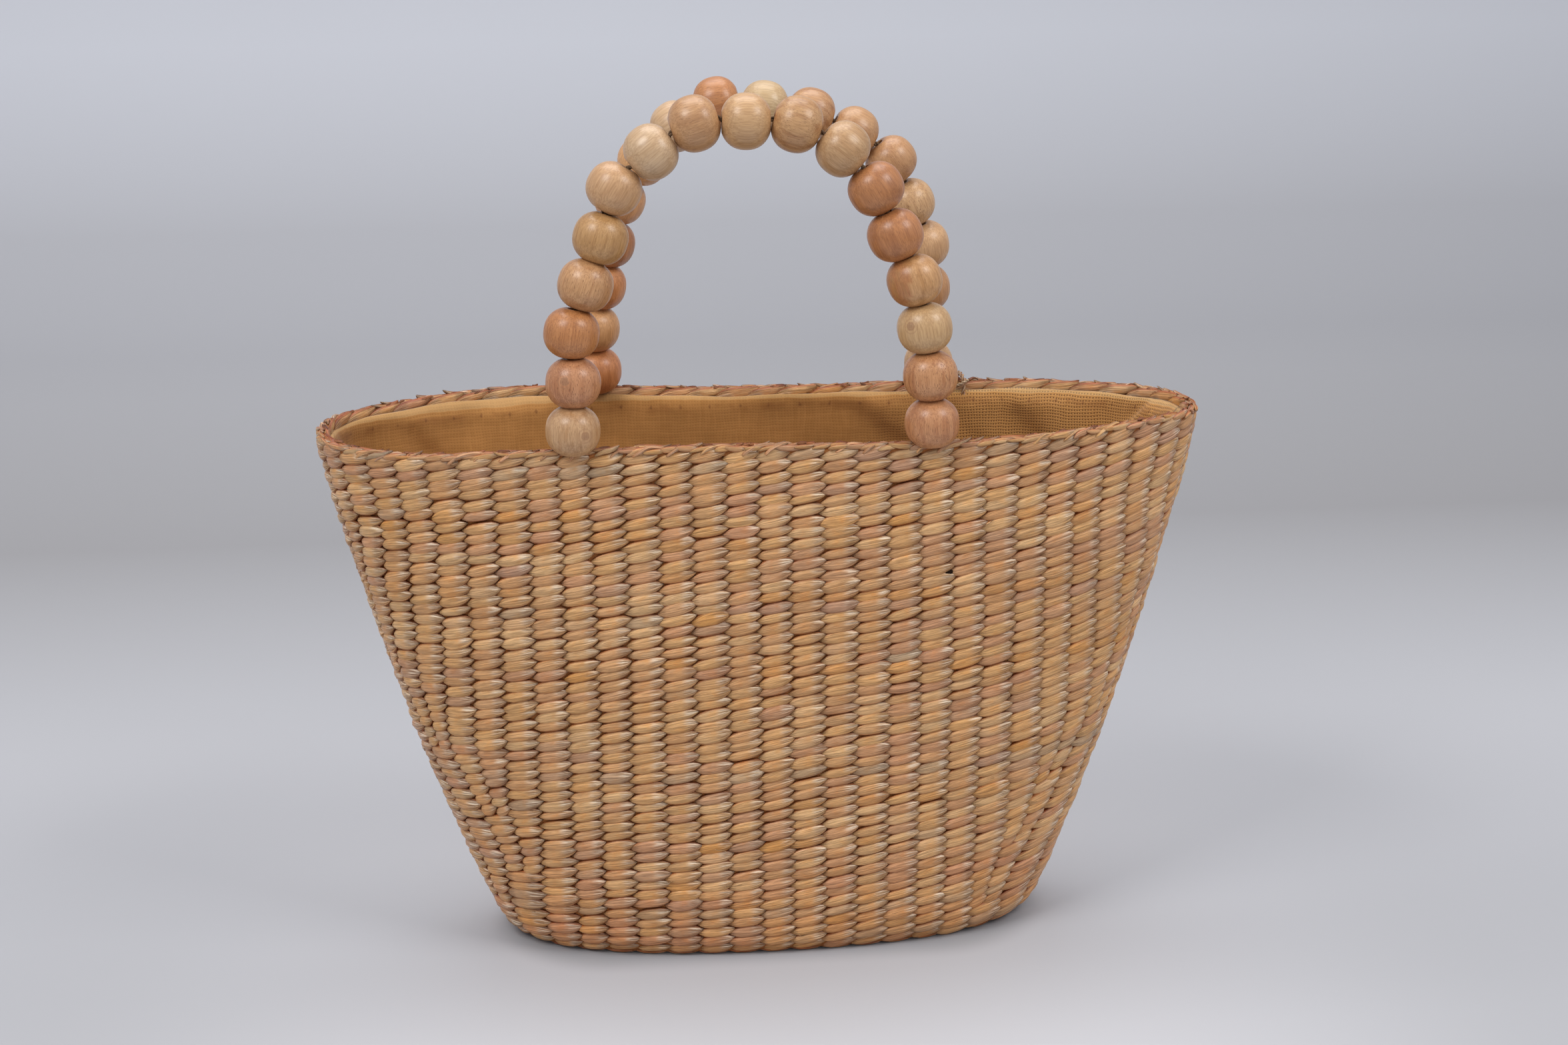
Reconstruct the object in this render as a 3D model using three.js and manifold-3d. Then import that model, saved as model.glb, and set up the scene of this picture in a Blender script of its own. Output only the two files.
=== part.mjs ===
// Straw basket bag: a woven tapered oval with a cloth lining and two arched handles of wood beads.
// Millimetres, +Z up, +X along the bag's length, its front towards -Y, standing on z = 0.
import * as THREE from 'three';
import { mergeVertices } from 'three/addons/utils/BufferGeometryUtils.js';
import Module from 'manifold-3d';

// Driving sizes of the basket
const BODY_HEIGHT = 254;
const RIM_HALF_LENGTH = 211;
const RIM_HALF_DEPTH = 71.5;
const BASE_HALF_LENGTH = 126.5;
const BASE_HALF_DEPTH = 49.5;
const WALL = 5;
const FLOOR = 5;
const RIM_ROUNDNESS = 2.55;
const BASE_ROUNDNESS = 2.3;
const FLOOR_TUCK = 2;

// The weave: columns of stitches, straight in the middle of each wall and fanned at its ends
const COLUMNS_PER_QUARTER = 16;
const STRAIGHT_COLUMNS = 7;
const MOST_STRAIGHT = 0.8;
const RIB_HEIGHT = 1.8;

// The braid on the rim
const RIM_WIDTH = 6.6;
const RIM_HEIGHT = 6;
const RIM_OVERHANG = 0.6;
const RIM_FLAT = 0.56;

// The lining
const LINING = 1;
const LINING_GAP = 0.6;
const FOLD_DEPTH = 7;
const HEM_FOLD = 0.35;
const HEM_REACH = 0.12;

// The beads and what runs through them
const BEADS_PER_HANDLE = 17;
const BEAD_DIAMETER = 25;
const BEAD_LENGTH = 21.3;
const BEAD_FLAT = 9;
const BEAD_BORE = 5;
const STRING_DIAMETER = 2.4;
const BEAD_SINK = 2.5;
const BEAD_SIDES = 10;
const STRING_SIDES = 6;

// The straw tie beside the back handle's right foot
const TIE_DIAMETER = 3.4;
const TIE_GAP = 3;
const TIE_DROP = 5;
const TIE_BENDS = 6;
const HALVINGS = 20;

const CLEARANCE = 0.3;

// Rows of the basket's outer face. height: share of the body's height. spread and swell: share of the
// way from the base's half length and half depth to the rim's.
const SECTIONS = [
  { height: 0, spread: 0, swell: 0 },
  { height: 0.016, spread: 0.06, swell: 0.1 },
  { height: 0.05, spread: 0.125, swell: 0.21 },
  { height: 0.12, spread: 0.215, swell: 0.32 },
  { height: 0.24, spread: 0.355, swell: 0.45 },
  { height: 0.4, spread: 0.52, swell: 0.6 },
  { height: 0.58, spread: 0.68, swell: 0.755 },
  { height: 0.76, spread: 0.83, swell: 0.885 },
  { height: 0.9, spread: 0.94, swell: 0.965 },
  { height: 1, spread: 1, swell: 1 },
];

// Rows of the inner face, as shares of the body's height
const INNER_HEIGHTS = [0.05, 0.24, 0.58, 1];

// Powers of the height by which the dents and the rim's rises fade downwards, and the share of the
// rim's half depth within which both fade towards the bag's ends
const DENT_FADE = 2;
const RISE_FADE = 4;
const END_FADE = 0.5;

// Dents and bulges of the walls, full at the rim and fading downwards. wall: -1 front, 1 back. at and
// width: shares of the rim's half length. out: share of its half depth.
const DENTS = [
  { wall: 1, at: -0.58, width: 0.28, out: 0.105 },
  { wall: 1, at: 0.12, width: 0.36, out: -0.07 },
  { wall: 1, at: 0.62, width: 0.2, out: 0.04 },
  { wall: -1, at: -0.72, width: 0.24, out: 0.06 },
  { wall: -1, at: -0.1, width: 0.4, out: -0.05 },
  { wall: -1, at: 0.86, width: 0.2, out: -0.03 },
];

// How the rim's edge rises and falls. up: share of the body's height.
const RIM_WAVES = [
  { wall: 1, at: -0.58, width: 0.3, up: 0.009 },
  { wall: -1, at: -0.8, width: 0.2, up: -0.008 },
  { wall: -1, at: 0.42, width: 0.3, up: -0.007 },
  { wall: -1, at: 0.86, width: 0.2, up: 0.003 },
];

// Folds of the lining. column: where it hangs. wide: in columns. deep: share of the fold depth.
// reach: how far down it goes, as a share of the body's height.
const FOLDS = [
  { column: 1.5, wide: 1.3, deep: 0.4, reach: 0.5 },
  { column: 7, wide: 1, deep: 0.55, reach: 0.7 },
  { column: 13.5, wide: 1.1, deep: 0.9, reach: 0.9 },
  { column: 18.5, wide: 1.2, deep: 0.8, reach: 0.8 },
  { column: 23, wide: 1.4, deep: 0.35, reach: 0.6 },
  { column: 28.5, wide: 1.2, deep: 0.5, reach: 0.7 },
  { column: 34, wide: 1.5, deep: 0.3, reach: 0.5 },
  { column: 39.5, wide: 1.3, deep: 0.6, reach: 0.8 },
  { column: 44.5, wide: 1, deep: 0.75, reach: 0.7 },
  { column: 50.5, wide: 1.2, deep: 1, reach: 0.9 },
  { column: 57, wide: 1.4, deep: 0.45, reach: 0.6 },
];

// The strings' routes: points chosen by hand through the beads' centres, from the left foot to the
// right one. rise is measured from the rim's top edge.
const ROUTES = {
  front: [
    { x: -90, y: -66, rise: 8.5 },
    { x: -89, y: -65.5, rise: 31 },
    { x: -89, y: -65, rise: 53 },
    { x: -82, y: -64, rise: 74 },
    { x: -74.5, y: -63, rise: 95 },
    { x: -68, y: -62.5, rise: 116 },
    { x: -52, y: -62, rise: 131 },
    { x: -34, y: -61.5, rise: 143 },
    { x: -12, y: -61.5, rise: 144 },
    { x: 10.5, y: -62, rise: 143 },
    { x: 31, y: -63.5, rise: 133 },
    { x: 46, y: -65, rise: 116.5 },
    { x: 55, y: -66, rise: 95.5 },
    { x: 64, y: -66.5, rise: 75 },
    { x: 69, y: -66.5, rise: 53.5 },
    { x: 72, y: -66.5, rise: 31 },
    { x: 73, y: -66.2, rise: 8.5 },
  ],
  back: [
    { x: -78, y: 66.5, rise: 8.5 },
    { x: -78.5, y: 63, rise: 32 },
    { x: -74.5, y: 60, rise: 54 },
    { x: -69.5, y: 57, rise: 75.5 },
    { x: -64, y: 54, rise: 97 },
    { x: -52.5, y: 50, rise: 116 },
    { x: -37, y: 47, rise: 132 },
    { x: -17.5, y: 45, rise: 143.5 },
    { x: 5, y: 43, rise: 142 },
    { x: 27.5, y: 42, rise: 138.5 },
    { x: 48.5, y: 41, rise: 129.5 },
    { x: 67, y: 41, rise: 116.5 },
    { x: 76.5, y: 42.5, rise: 96.5 },
    { x: 85, y: 45.5, rise: 75.5 },
    { x: 86.5, y: 50, rise: 53.5 },
    { x: 88.5, y: 57, rise: 32 },
    { x: 91, y: 66.5, rise: 8.5 },
  ],
};

// How wide each bead is, as a share of the bead's diameter, from the left foot to the right one
const BEAD_SHARES = {
  front: [1, 1, 1.01, 1.02, 1.04, 1, 0.99, 1.01, 1, 1.02, 1, 0.98, 1.01, 1, 1.01, 1.02, 1],
  back: [0.99, 1.01, 1, 0.98, 1, 1.02, 0.99, 1, 1.02, 1, 1.01, 1, 0.99, 1.02, 1, 1, 0.98],
};

const MATERIALS = {
  straw: new THREE.MeshStandardMaterial({ color: 0xb98a58, roughness: 0.75, metalness: 0 }),
  braid: new THREE.MeshStandardMaterial({ color: 0xa97c50, roughness: 0.8, metalness: 0 }),
  lining: new THREE.MeshStandardMaterial({ color: 0xa87a35, roughness: 0.95, metalness: 0 }),
  wood: new THREE.MeshStandardMaterial({ color: 0xcc9a6b, roughness: 0.45, metalness: 0 }),
  string: new THREE.MeshStandardMaterial({ color: 0x5a4530, roughness: 0.9, metalness: 0 }),
};

const COLUMNS = 4 * COLUMNS_PER_QUARTER;
const RIM_TOP = BODY_HEIGHT + CLEARANCE + RIM_HEIGHT;
const BEAD_HALF = BEAD_LENGTH / 2;
const mix = THREE.MathUtils.lerp;
const bell = (distance) => Math.exp(-distance * distance);

// A quarter of a superellipse from the middle of a wall to its end, read by the length along it
function quarterOutline(halfLength, halfDepth, roundness) {
  const samples = 300;
  const points = [];
  for (let i = 0; i <= samples; i += 1) {
    const angle = (i / samples) * (Math.PI / 2);
    const x = halfLength * Math.sin(angle) ** (2 / roundness);
    const y = halfDepth * Math.max(Math.cos(angle), 0) ** (2 / roundness);
    points.push(new THREE.Vector2(x, y));
  }
  points[samples].y = 0;
  const lengths = [0];
  for (let i = 1; i <= samples; i += 1) {
    lengths.push(lengths[i - 1] + points[i].distanceTo(points[i - 1]));
  }
  const total = lengths[samples];
  const at = (length) => {
    let i = 1;
    while (i < samples && lengths[i] < length) i += 1;
    const part = (length - lengths[i - 1]) / (lengths[i] - lengths[i - 1]);
    return points[i - 1].clone().lerp(points[i], THREE.MathUtils.clamp(part, 0, 1));
  };
  return { total, at };
}

// The outer face's half length, half depth and roundness at a share of the body's height
function sectionAt(height) {
  let i = 1;
  while (i < SECTIONS.length - 1 && SECTIONS[i].height < height) i += 1;
  const low = SECTIONS[i - 1];
  const high = SECTIONS[i];
  const part = (height - low.height) / (high.height - low.height);
  return {
    halfLength: mix(BASE_HALF_LENGTH, RIM_HALF_LENGTH, mix(low.spread, high.spread, part)),
    halfDepth: mix(BASE_HALF_DEPTH, RIM_HALF_DEPTH, mix(low.swell, high.swell, part)),
    roundness: mix(BASE_ROUNDNESS, RIM_ROUNDNESS, height),
  };
}

const rimQuarter = quarterOutline(RIM_HALF_LENGTH, RIM_HALF_DEPTH, RIM_ROUNDNESS).total;
const columnPitch = rimQuarter / COLUMNS_PER_QUARTER;

// Which wall a column is on, which way it lies from the middle, and how many columns away
function columnPlace(column) {
  const turn = THREE.MathUtils.euclideanModulo(column, COLUMNS);
  const quarter = Math.floor(turn / COLUMNS_PER_QUARTER);
  const wall = quarter === 1 || quarter === 2 ? 1 : -1;
  const side = quarter < 2 ? 1 : -1;
  const middle = [0, 2, 2, 4][quarter] * COLUMNS_PER_QUARTER;
  return { wall, side, fromMiddle: Math.abs(turn - middle) };
}

// How far from the middle of the wall a column stands: straight columns keep the rim's pitch, and
// those at the ends share what is left of the outline
function lengthToColumn(fromMiddle, total) {
  const straight = Math.min(STRAIGHT_COLUMNS * columnPitch, total * MOST_STRAIGHT);
  if (fromMiddle <= STRAIGHT_COLUMNS) return (straight * fromMiddle) / STRAIGHT_COLUMNS;
  const part = (fromMiddle - STRAIGHT_COLUMNS) / (COLUMNS_PER_QUARTER - STRAIGHT_COLUMNS);
  return mix(straight, total, part);
}

function sumOfBells(table, wall, place, column) {
  return table
    .filter((row) => row.wall === wall)
    .reduce((sum, row) => sum + row[column] * bell((place - row.at) / row.width), 0);
}

// Outlines are worked out once for each height and inset
const outlines = new Map();
function outlineAt(height, inset) {
  const key = `${height},${inset}`;
  if (!outlines.has(key)) {
    const { halfLength, halfDepth, roundness } = sectionAt(height);
    outlines.set(key, quarterOutline(halfLength - inset, halfDepth - inset, roundness));
  }
  return outlines.get(key);
}

// A point of the basket: column round it, share of its height, and how far inside the outer face
function basketPoint(column, height, inset) {
  const { wall, side, fromMiddle } = columnPlace(column);
  const outline = outlineAt(height, inset);
  const flat = outline.at(lengthToColumn(fromMiddle, outline.total));
  const place = (side * flat.x) / RIM_HALF_LENGTH;
  const fade = height ** DENT_FADE * Math.min(1, flat.y / (END_FADE * RIM_HALF_DEPTH));
  const bulge = RIM_HALF_DEPTH * sumOfBells(DENTS, wall, place, 'out') * fade;
  return new THREE.Vector3(side * flat.x, wall * (flat.y + bulge), BODY_HEIGHT * height);
}

// How much the rim's edge rises over a point
function rimRise(point) {
  const wall = point.y < 0 ? -1 : 1;
  const fade = Math.min(1, Math.abs(point.y) / (END_FADE * RIM_HALF_DEPTH));
  return BODY_HEIGHT * fade * sumOfBells(RIM_WAVES, wall, point.x / RIM_HALF_LENGTH, 'up');
}

// A lathe's mesh with every vertex set anew by place(segment, ring)
function shapedLathe(rings, segments, place) {
  const profile = rings.map((ring, i) => new THREE.Vector2(ring.onAxis ? 0 : 1 + i, i));
  const lathe = new THREE.LatheGeometry(profile, segments);
  const position = lathe.getAttribute('position');
  for (let k = 0; k < position.count; k += 1) {
    const segment = Math.floor(k / rings.length) % segments;
    const point = place(segment, rings[k % rings.length]);
    position.setXYZ(k, point.x, point.y, point.z);
  }
  lathe.deleteAttribute('normal');
  lathe.deleteAttribute('uv');
  return mergeVertices(lathe, 1e-5);
}

function axisPoint(z) {
  return new THREE.Vector3(0, 0, z);
}

// The rise at a height: the whole of the rim's, fading to nothing lower down
function risenBy(point, height) {
  return rimRise(point) * height ** RISE_FADE;
}

// How wide a column is at a height, as a share of its width at the rim
function columnWidth(column, height) {
  const { fromMiddle } = columnPlace(column);
  const { total } = outlineAt(height, 0);
  const far = lengthToColumn(Math.min(fromMiddle + 0.5, COLUMNS_PER_QUARTER), total);
  const near = lengthToColumn(Math.max(fromMiddle - 0.5, 0), total);
  return Math.min(1, (far - near) / columnPitch);
}

// Ribs stand on the columns and their valleys between them
function wallPoint(segment, ring) {
  if (ring.onAxis) return axisPoint(ring.z);
  const column = segment / 2;
  const inValley = ring.outer && segment % 2 === 1;
  const valley = inValley ? RIB_HEIGHT * columnWidth(column, ring.height) : 0;
  const point = basketPoint(column, ring.height, ring.inset + valley);
  point.z = (ring.z ?? point.z) + risenBy(point, ring.height);
  return point;
}

function wallGeometry() {
  const floorShare = FLOOR / BODY_HEIGHT;
  const rings = [
    { onAxis: true, z: 0 },
    ...SECTIONS.map(({ height }) => ({ height, inset: 0, outer: true })),
    ...[...INNER_HEIGHTS].reverse().map((height) => ({ height, inset: WALL })),
    { height: floorShare, inset: WALL + FLOOR_TUCK, z: FLOOR },
    { onAxis: true, z: FLOOR },
  ];
  return shapedLathe(rings, 2 * COLUMNS, wallPoint);
}

// How deep the lining's folds hang at a column and a share of the height
function foldAt(column, height) {
  const hemmed = mix(HEM_FOLD, 1, Math.min(1, (1 - height) / HEM_REACH));
  return FOLDS.reduce((sum, fold) => {
    const away = Math.abs(THREE.MathUtils.euclideanModulo(column - fold.column + COLUMNS / 2, COLUMNS)
      - COLUMNS / 2);
    const down = THREE.MathUtils.clamp(1 - (1 - height) / fold.reach, 0, 1);
    return sum + FOLD_DEPTH * fold.deep * bell(away / fold.wide) * down * hemmed;
  }, 0);
}

function liningPoint(segment, ring) {
  if (ring.onAxis) return axisPoint(ring.z);
  const fold = ring.inner ? foldAt(segment, ring.height) : 0;
  const point = basketPoint(segment, ring.height, ring.inset + fold);
  point.z = (ring.z ?? point.z) + risenBy(point, ring.height);
  return point;
}

// The lining's outer face lies on the wall. Its folds stand away from the wall on both faces.
function liningGeometry() {
  const outside = WALL + LINING_GAP;
  const floorShare = FLOOR / BODY_HEIGHT;
  const under = FLOOR + CLEARANCE;
  const rings = [
    { onAxis: true, z: under },
    { height: floorShare, inset: outside + FLOOR_TUCK, z: under },
    ...INNER_HEIGHTS.map((height) => ({ height, inset: outside, inner: true })),
    ...[...INNER_HEIGHTS].reverse().map((height) => ({ height, inset: outside + LINING, inner: true })),
    { height: floorShare, inset: outside + LINING + FLOOR_TUCK, z: under + LINING },
    { onAxis: true, z: under + LINING },
  ];
  return shapedLathe(rings, COLUMNS, liningPoint);
}

// The braid is a ring with a six-sided section that lies on top of the wall
function rimPoint(segment, ring) {
  const inset = RIM_WIDTH / 2 - RIM_OVERHANG - ring.across * (RIM_WIDTH / 2);
  const point = basketPoint(segment, 1, inset);
  const middle = BODY_HEIGHT + CLEARANCE + RIM_HEIGHT / 2;
  point.z = middle + ring.up * (RIM_HEIGHT / 2) + rimRise(point);
  return point;
}

function rimGeometry() {
  const rings = [
    { across: -RIM_FLAT, up: -1 },
    { across: RIM_FLAT, up: -1 },
    { across: 1, up: 0 },
    { across: RIM_FLAT, up: 1 },
    { across: -RIM_FLAT, up: 1 },
    { across: -1, up: 0 },
    { across: -RIM_FLAT, up: -1 },
  ];
  return shapedLathe(rings, COLUMNS, rimPoint);
}

// The beads' axial half size before their ends are cut flat
const BEAD_OVAL = BEAD_HALF / Math.sqrt(1 - (BEAD_FLAT / BEAD_DIAMETER) ** 2);

function beadRadius(z) {
  return (BEAD_DIAMETER / 2) * Math.sqrt(1 - (z / BEAD_OVAL) ** 2);
}

const BEAD_LATITUDES = [-1, -0.68, 0, 0.68, 1];

function beadGeometry() {
  const outer = BEAD_LATITUDES.map((share) => {
    const z = share * BEAD_HALF;
    return new THREE.Vector2(beadRadius(z), z);
  });
  const bore = BEAD_BORE / 2;
  const profile = [
    new THREE.Vector2(bore, -BEAD_HALF),
    ...outer,
    new THREE.Vector2(bore, BEAD_HALF),
    new THREE.Vector2(bore, -BEAD_HALF),
  ];
  return new THREE.LatheGeometry(profile, BEAD_SIDES);
}

// How far a bead reaches towards a neighbour that lies at an angle to its axis
function beadReach(angle) {
  return BEAD_HALF * Math.cos(angle) + (BEAD_FLAT / 2) * Math.sin(angle);
}

// Each bead is in line with its neighbours
function beadAxes(centres) {
  return centres.map((centre, i) => {
    const before = centres[Math.max(i - 1, 0)];
    const after = centres[Math.min(i + 1, centres.length - 1)];
    return after.clone().sub(before).normalize();
  });
}

// Beads share the route out by the room that each pair needs: more where the string bends
function beadPlaces(route) {
  const points = route.map(({ x, y, rise }) => new THREE.Vector3(x, y, RIM_TOP + rise));
  const footRise = BEAD_HALF + CLEARANCE - BEAD_SINK;
  [points[0], points[points.length - 1]].forEach((foot) => {
    foot.z = RIM_TOP + footRise + rimRise(foot);
  });
  const curve = new THREE.CatmullRomCurve3(points, false, 'centripetal');
  curve.arcLengthDivisions = 1000;
  let rooms = new Array(BEADS_PER_HANDLE - 1).fill(1);
  let centres = [];
  for (let pass = 0; pass < 4; pass += 1) {
    const total = rooms.reduce((sum, room) => sum + room, 0);
    let reached = 0;
    centres = [curve.getPointAt(0)];
    rooms.forEach((room) => {
      reached += room;
      centres.push(curve.getPointAt(Math.min(reached / total, 1)));
    });
    const axes = beadAxes(centres);
    rooms = rooms.map((room, i) => {
      const step = centres[i + 1].clone().sub(centres[i]);
      return beadReach(step.angleTo(axes[i])) + beadReach(step.angleTo(axes[i + 1])) + CLEARANCE;
    });
  }
  const axes = beadAxes(centres);
  return centres.map((centre, i) => ({ centre, axis: axes[i] }));
}

// A path whose steps fall on the given points
class StepPath extends THREE.Curve {
  constructor(points) {
    super();
    this.points = points;
  }

  getPoint(t) {
    const along = t * (this.points.length - 1);
    const i = Math.min(Math.floor(along), this.points.length - 2);
    return this.points[i].clone().lerp(this.points[i + 1], along - i);
  }

  getPointAt(t) {
    return this.getPoint(t);
  }

  getTangentAt(t) {
    const last = this.points.length - 1;
    const i = Math.round(t * last);
    const before = this.points[Math.max(i - 1, 0)];
    const after = this.points[Math.min(i + 1, last)];
    return after.clone().sub(before).normalize();
  }
}

function tubeGeometry(points, diameter, sides) {
  const section = new THREE.Shape();
  for (let i = 0; i <= sides; i += 1) {
    const angle = (i / sides) * 2 * Math.PI;
    const x = (diameter / 2) * Math.cos(angle);
    const y = (diameter / 2) * Math.sin(angle);
    if (i === 0) section.moveTo(x, y);
    else section.lineTo(x, y);
  }
  return new THREE.ExtrudeGeometry(section, {
    steps: points.length - 1,
    extrudePath: new StepPath(points),
    bevelEnabled: false,
  });
}

// Where a string ends: in the braid, just above the wall, in line with its foot bead
function stringFoot({ centre, axis }) {
  const upward = axis.clone().multiplyScalar(Math.sign(axis.z));
  const end = BODY_HEIGHT + 2 * CLEARANCE + rimRise(centre);
  return centre.clone().addScaledVector(upward, (end - centre.z) / upward.z);
}

function stringGeometry(places) {
  const points = [stringFoot(places[0])];
  places.forEach(({ centre, axis }) => {
    points.push(centre.clone().addScaledVector(axis, -BEAD_HALF));
    points.push(centre.clone().addScaledVector(axis, BEAD_HALF));
  });
  points.push(stringFoot(places[BEADS_PER_HANDLE - 1]));
  return tubeGeometry(points, STRING_DIAMETER, STRING_SIDES);
}

// The column of the back wall whose rim stands at this x, found by halving
function backColumnAt(x) {
  let low = COLUMNS_PER_QUARTER;
  let high = 2 * COLUMNS_PER_QUARTER;
  for (let i = 0; i < HALVINGS; i += 1) {
    const column = (low + high) / 2;
    if (basketPoint(column, 1, 0).x > x) low = column;
    else high = column;
  }
  return (low + high) / 2;
}

// The tie is a strand of straw bent over the braid, its outer end lying on the wall
function tiePoints() {
  const foot = ROUTES.back[ROUTES.back.length - 1];
  const column = backColumnAt(foot.x + BEAD_DIAMETER / 2 + TIE_GAP);
  const at = (inset, z) => {
    const point = basketPoint(column, 1, inset);
    point.z = z + rimRise(point);
    return point;
  };
  const beside = TIE_DIAMETER / 2 + 2 * CLEARANCE;
  const middle = RIM_WIDTH / 2 - RIM_OVERHANG;
  const across = RIM_WIDTH / 2 + beside;
  const up = RIM_HEIGHT / 2 + beside;
  const points = [at(middle - across, BODY_HEIGHT - TIE_DROP)];
  for (let i = 0; i <= TIE_BENDS; i += 1) {
    const angle = (i / TIE_BENDS) * Math.PI;
    const z = RIM_TOP - RIM_HEIGHT / 2 + up * Math.sin(angle);
    points.push(at(middle - across * Math.cos(angle), z));
  }
  points.push(at(middle + across, BODY_HEIGHT + 2 * CLEARANCE));
  return points;
}

const wasm = await Module();
wasm.setup();

function toSolid(geometry, matrix) {
  const moved = geometry.clone();
  if (matrix) moved.applyMatrix4(matrix);
  moved.deleteAttribute('normal');
  moved.deleteAttribute('uv');
  const merged = mergeVertices(moved, 1e-4);
  return new wasm.Manifold(new wasm.Mesh({
    numProp: 3,
    vertProperties: new Float32Array(merged.getAttribute('position').array),
    triVerts: new Uint32Array(merged.index.array),
  }));
}

function toGeometry(solid) {
  const { vertProperties, triVerts } = solid.getMesh();
  const geometry = new THREE.BufferGeometry();
  geometry.setAttribute('position', new THREE.BufferAttribute(new Float32Array(vertProperties), 3));
  geometry.setIndex(new THREE.BufferAttribute(new Uint32Array(triVerts), 1));
  return geometry;
}

function along(axis) {
  return new THREE.Quaternion().setFromUnitVectors(new THREE.Vector3(0, 1, 0), axis);
}

// The braid gives way under each foot bead and has a hole for its string
function seatedRim(feet) {
  const widest = Math.max(...Object.values(BEAD_SHARES).flat());
  let rim = toSolid(rimGeometry());
  const seatProfile = [-1, -0.68, 0].map((share) => {
    const z = share * BEAD_HALF;
    return new THREE.Vector2(beadRadius(z) * widest + CLEARANCE, z - CLEARANCE);
  });
  const seat = new THREE.LatheGeometry([
    new THREE.Vector2(0, -BEAD_HALF - CLEARANCE),
    ...seatProfile,
    new THREE.Vector2(0, 0),
  ], BEAD_SIDES);
  const hole = new THREE.CylinderGeometry(
    STRING_DIAMETER / 2 + CLEARANCE, STRING_DIAMETER / 2 + CLEARANCE, 2 * BEAD_LENGTH, STRING_SIDES,
  );
  feet.forEach(({ centre, axis }) => {
    const upward = axis.clone().multiplyScalar(Math.sign(axis.z));
    const matrix = new THREE.Matrix4().compose(centre, along(upward), new THREE.Vector3(1, 1, 1));
    rim = rim.subtract(toSolid(seat, matrix)).subtract(toSolid(hole, matrix));
  });
  return toGeometry(rim);
}

const bag = new THREE.Group();

function addMesh(name, geometry, material, parent = bag) {
  const mesh = new THREE.Mesh(geometry, material);
  mesh.name = name;
  parent.add(mesh);
  return mesh;
}

const handles = Object.fromEntries(
  Object.entries(ROUTES).map(([name, route]) => [name, beadPlaces(route)]),
);
const feet = Object.values(handles).flatMap((places) => [places[0], places[BEADS_PER_HANDLE - 1]]);

addMesh('basket_wall', wallGeometry(), MATERIALS.straw);
addMesh('rim_braid', seatedRim(feet), MATERIALS.braid);
addMesh('lining', liningGeometry(), MATERIALS.lining);
addMesh('rim_tie', tubeGeometry(tiePoints(), TIE_DIAMETER, STRING_SIDES), MATERIALS.braid);

Object.entries(handles).forEach(([name, places]) => {
  const handle = new THREE.Group();
  handle.name = `${name}_handle`;
  places.forEach(({ centre, axis }, i) => {
    const number = String(i + 1).padStart(2, '0');
    const bead = addMesh(`${name}_bead_${number}`, beadGeometry(), MATERIALS.wood, handle);
    const share = BEAD_SHARES[name][i];
    bead.position.copy(centre);
    bead.quaternion.copy(along(axis));
    bead.scale.set(share, 1, share);
  });
  addMesh(`${name}_string`, stringGeometry(places), MATERIALS.string, handle);
  bag.add(handle);
});

export default bag;
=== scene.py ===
# Straw basket bag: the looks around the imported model.
# Metres, +Z up, +X along the bag's length, its front towards -Y. Sizes are named in millimetres.
import math

import bpy
import numpy as np
from mathutils import Matrix, Vector


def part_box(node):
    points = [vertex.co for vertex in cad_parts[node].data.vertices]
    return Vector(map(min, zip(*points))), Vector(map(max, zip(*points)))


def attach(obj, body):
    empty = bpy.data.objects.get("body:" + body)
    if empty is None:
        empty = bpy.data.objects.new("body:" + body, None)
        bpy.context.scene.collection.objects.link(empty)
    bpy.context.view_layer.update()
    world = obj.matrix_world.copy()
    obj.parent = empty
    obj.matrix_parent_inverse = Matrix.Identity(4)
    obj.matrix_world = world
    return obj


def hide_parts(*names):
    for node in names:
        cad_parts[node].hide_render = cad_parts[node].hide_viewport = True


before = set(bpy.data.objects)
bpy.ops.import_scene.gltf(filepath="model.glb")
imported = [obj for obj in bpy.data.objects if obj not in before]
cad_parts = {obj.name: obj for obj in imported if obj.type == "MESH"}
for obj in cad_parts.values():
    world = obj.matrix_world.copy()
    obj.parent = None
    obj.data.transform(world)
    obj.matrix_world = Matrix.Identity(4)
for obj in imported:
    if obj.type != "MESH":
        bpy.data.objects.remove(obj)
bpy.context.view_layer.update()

MM = 0.001

# The camera, at the photograph's angle
CAMERA_PLACE = (-80.2, -1080.8, 494.4)
CAMERA_LENS = 52.805
CAMERA_SENSOR = 36
CAMERA_TURN = 4.78
CAMERA_DIP = 14.95
CAMERA_ROLL = -0.80

# The basket's sizes, the same as the model's
BODY_HEIGHT = 254
RIM_HALF_LENGTH = 211
RIM_HALF_DEPTH = 71.5
BASE_HALF_LENGTH = 126.5
BASE_HALF_DEPTH = 49.5
RIM_ROUNDNESS = 2.55
BASE_ROUNDNESS = 2.3
WALL = 5
FLOOR = 5
RIM_TOP = 260.3
COLUMNS_PER_QUARTER = 16
STRAIGHT_COLUMNS = 7
COLUMNS = 4 * COLUMNS_PER_QUARTER

# Rows of the outer face: height, and how far length and depth have grown from the base to the rim
SECTION_HEIGHT = [0, 0.016, 0.05, 0.12, 0.24, 0.4, 0.58, 0.76, 0.9, 1]
SECTION_SPREAD = [0, 0.06, 0.125, 0.215, 0.355, 0.52, 0.68, 0.83, 0.94, 1]
SECTION_SWELL = [0, 0.1, 0.21, 0.32, 0.45, 0.6, 0.755, 0.885, 0.965, 1]

# Powers of the height by which dents and rises fade downwards, and the share of the rim's half depth
# within which both fade towards the bag's ends
DENT_FADE = 2
RISE_FADE = 4
END_FADE = 0.5

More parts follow.
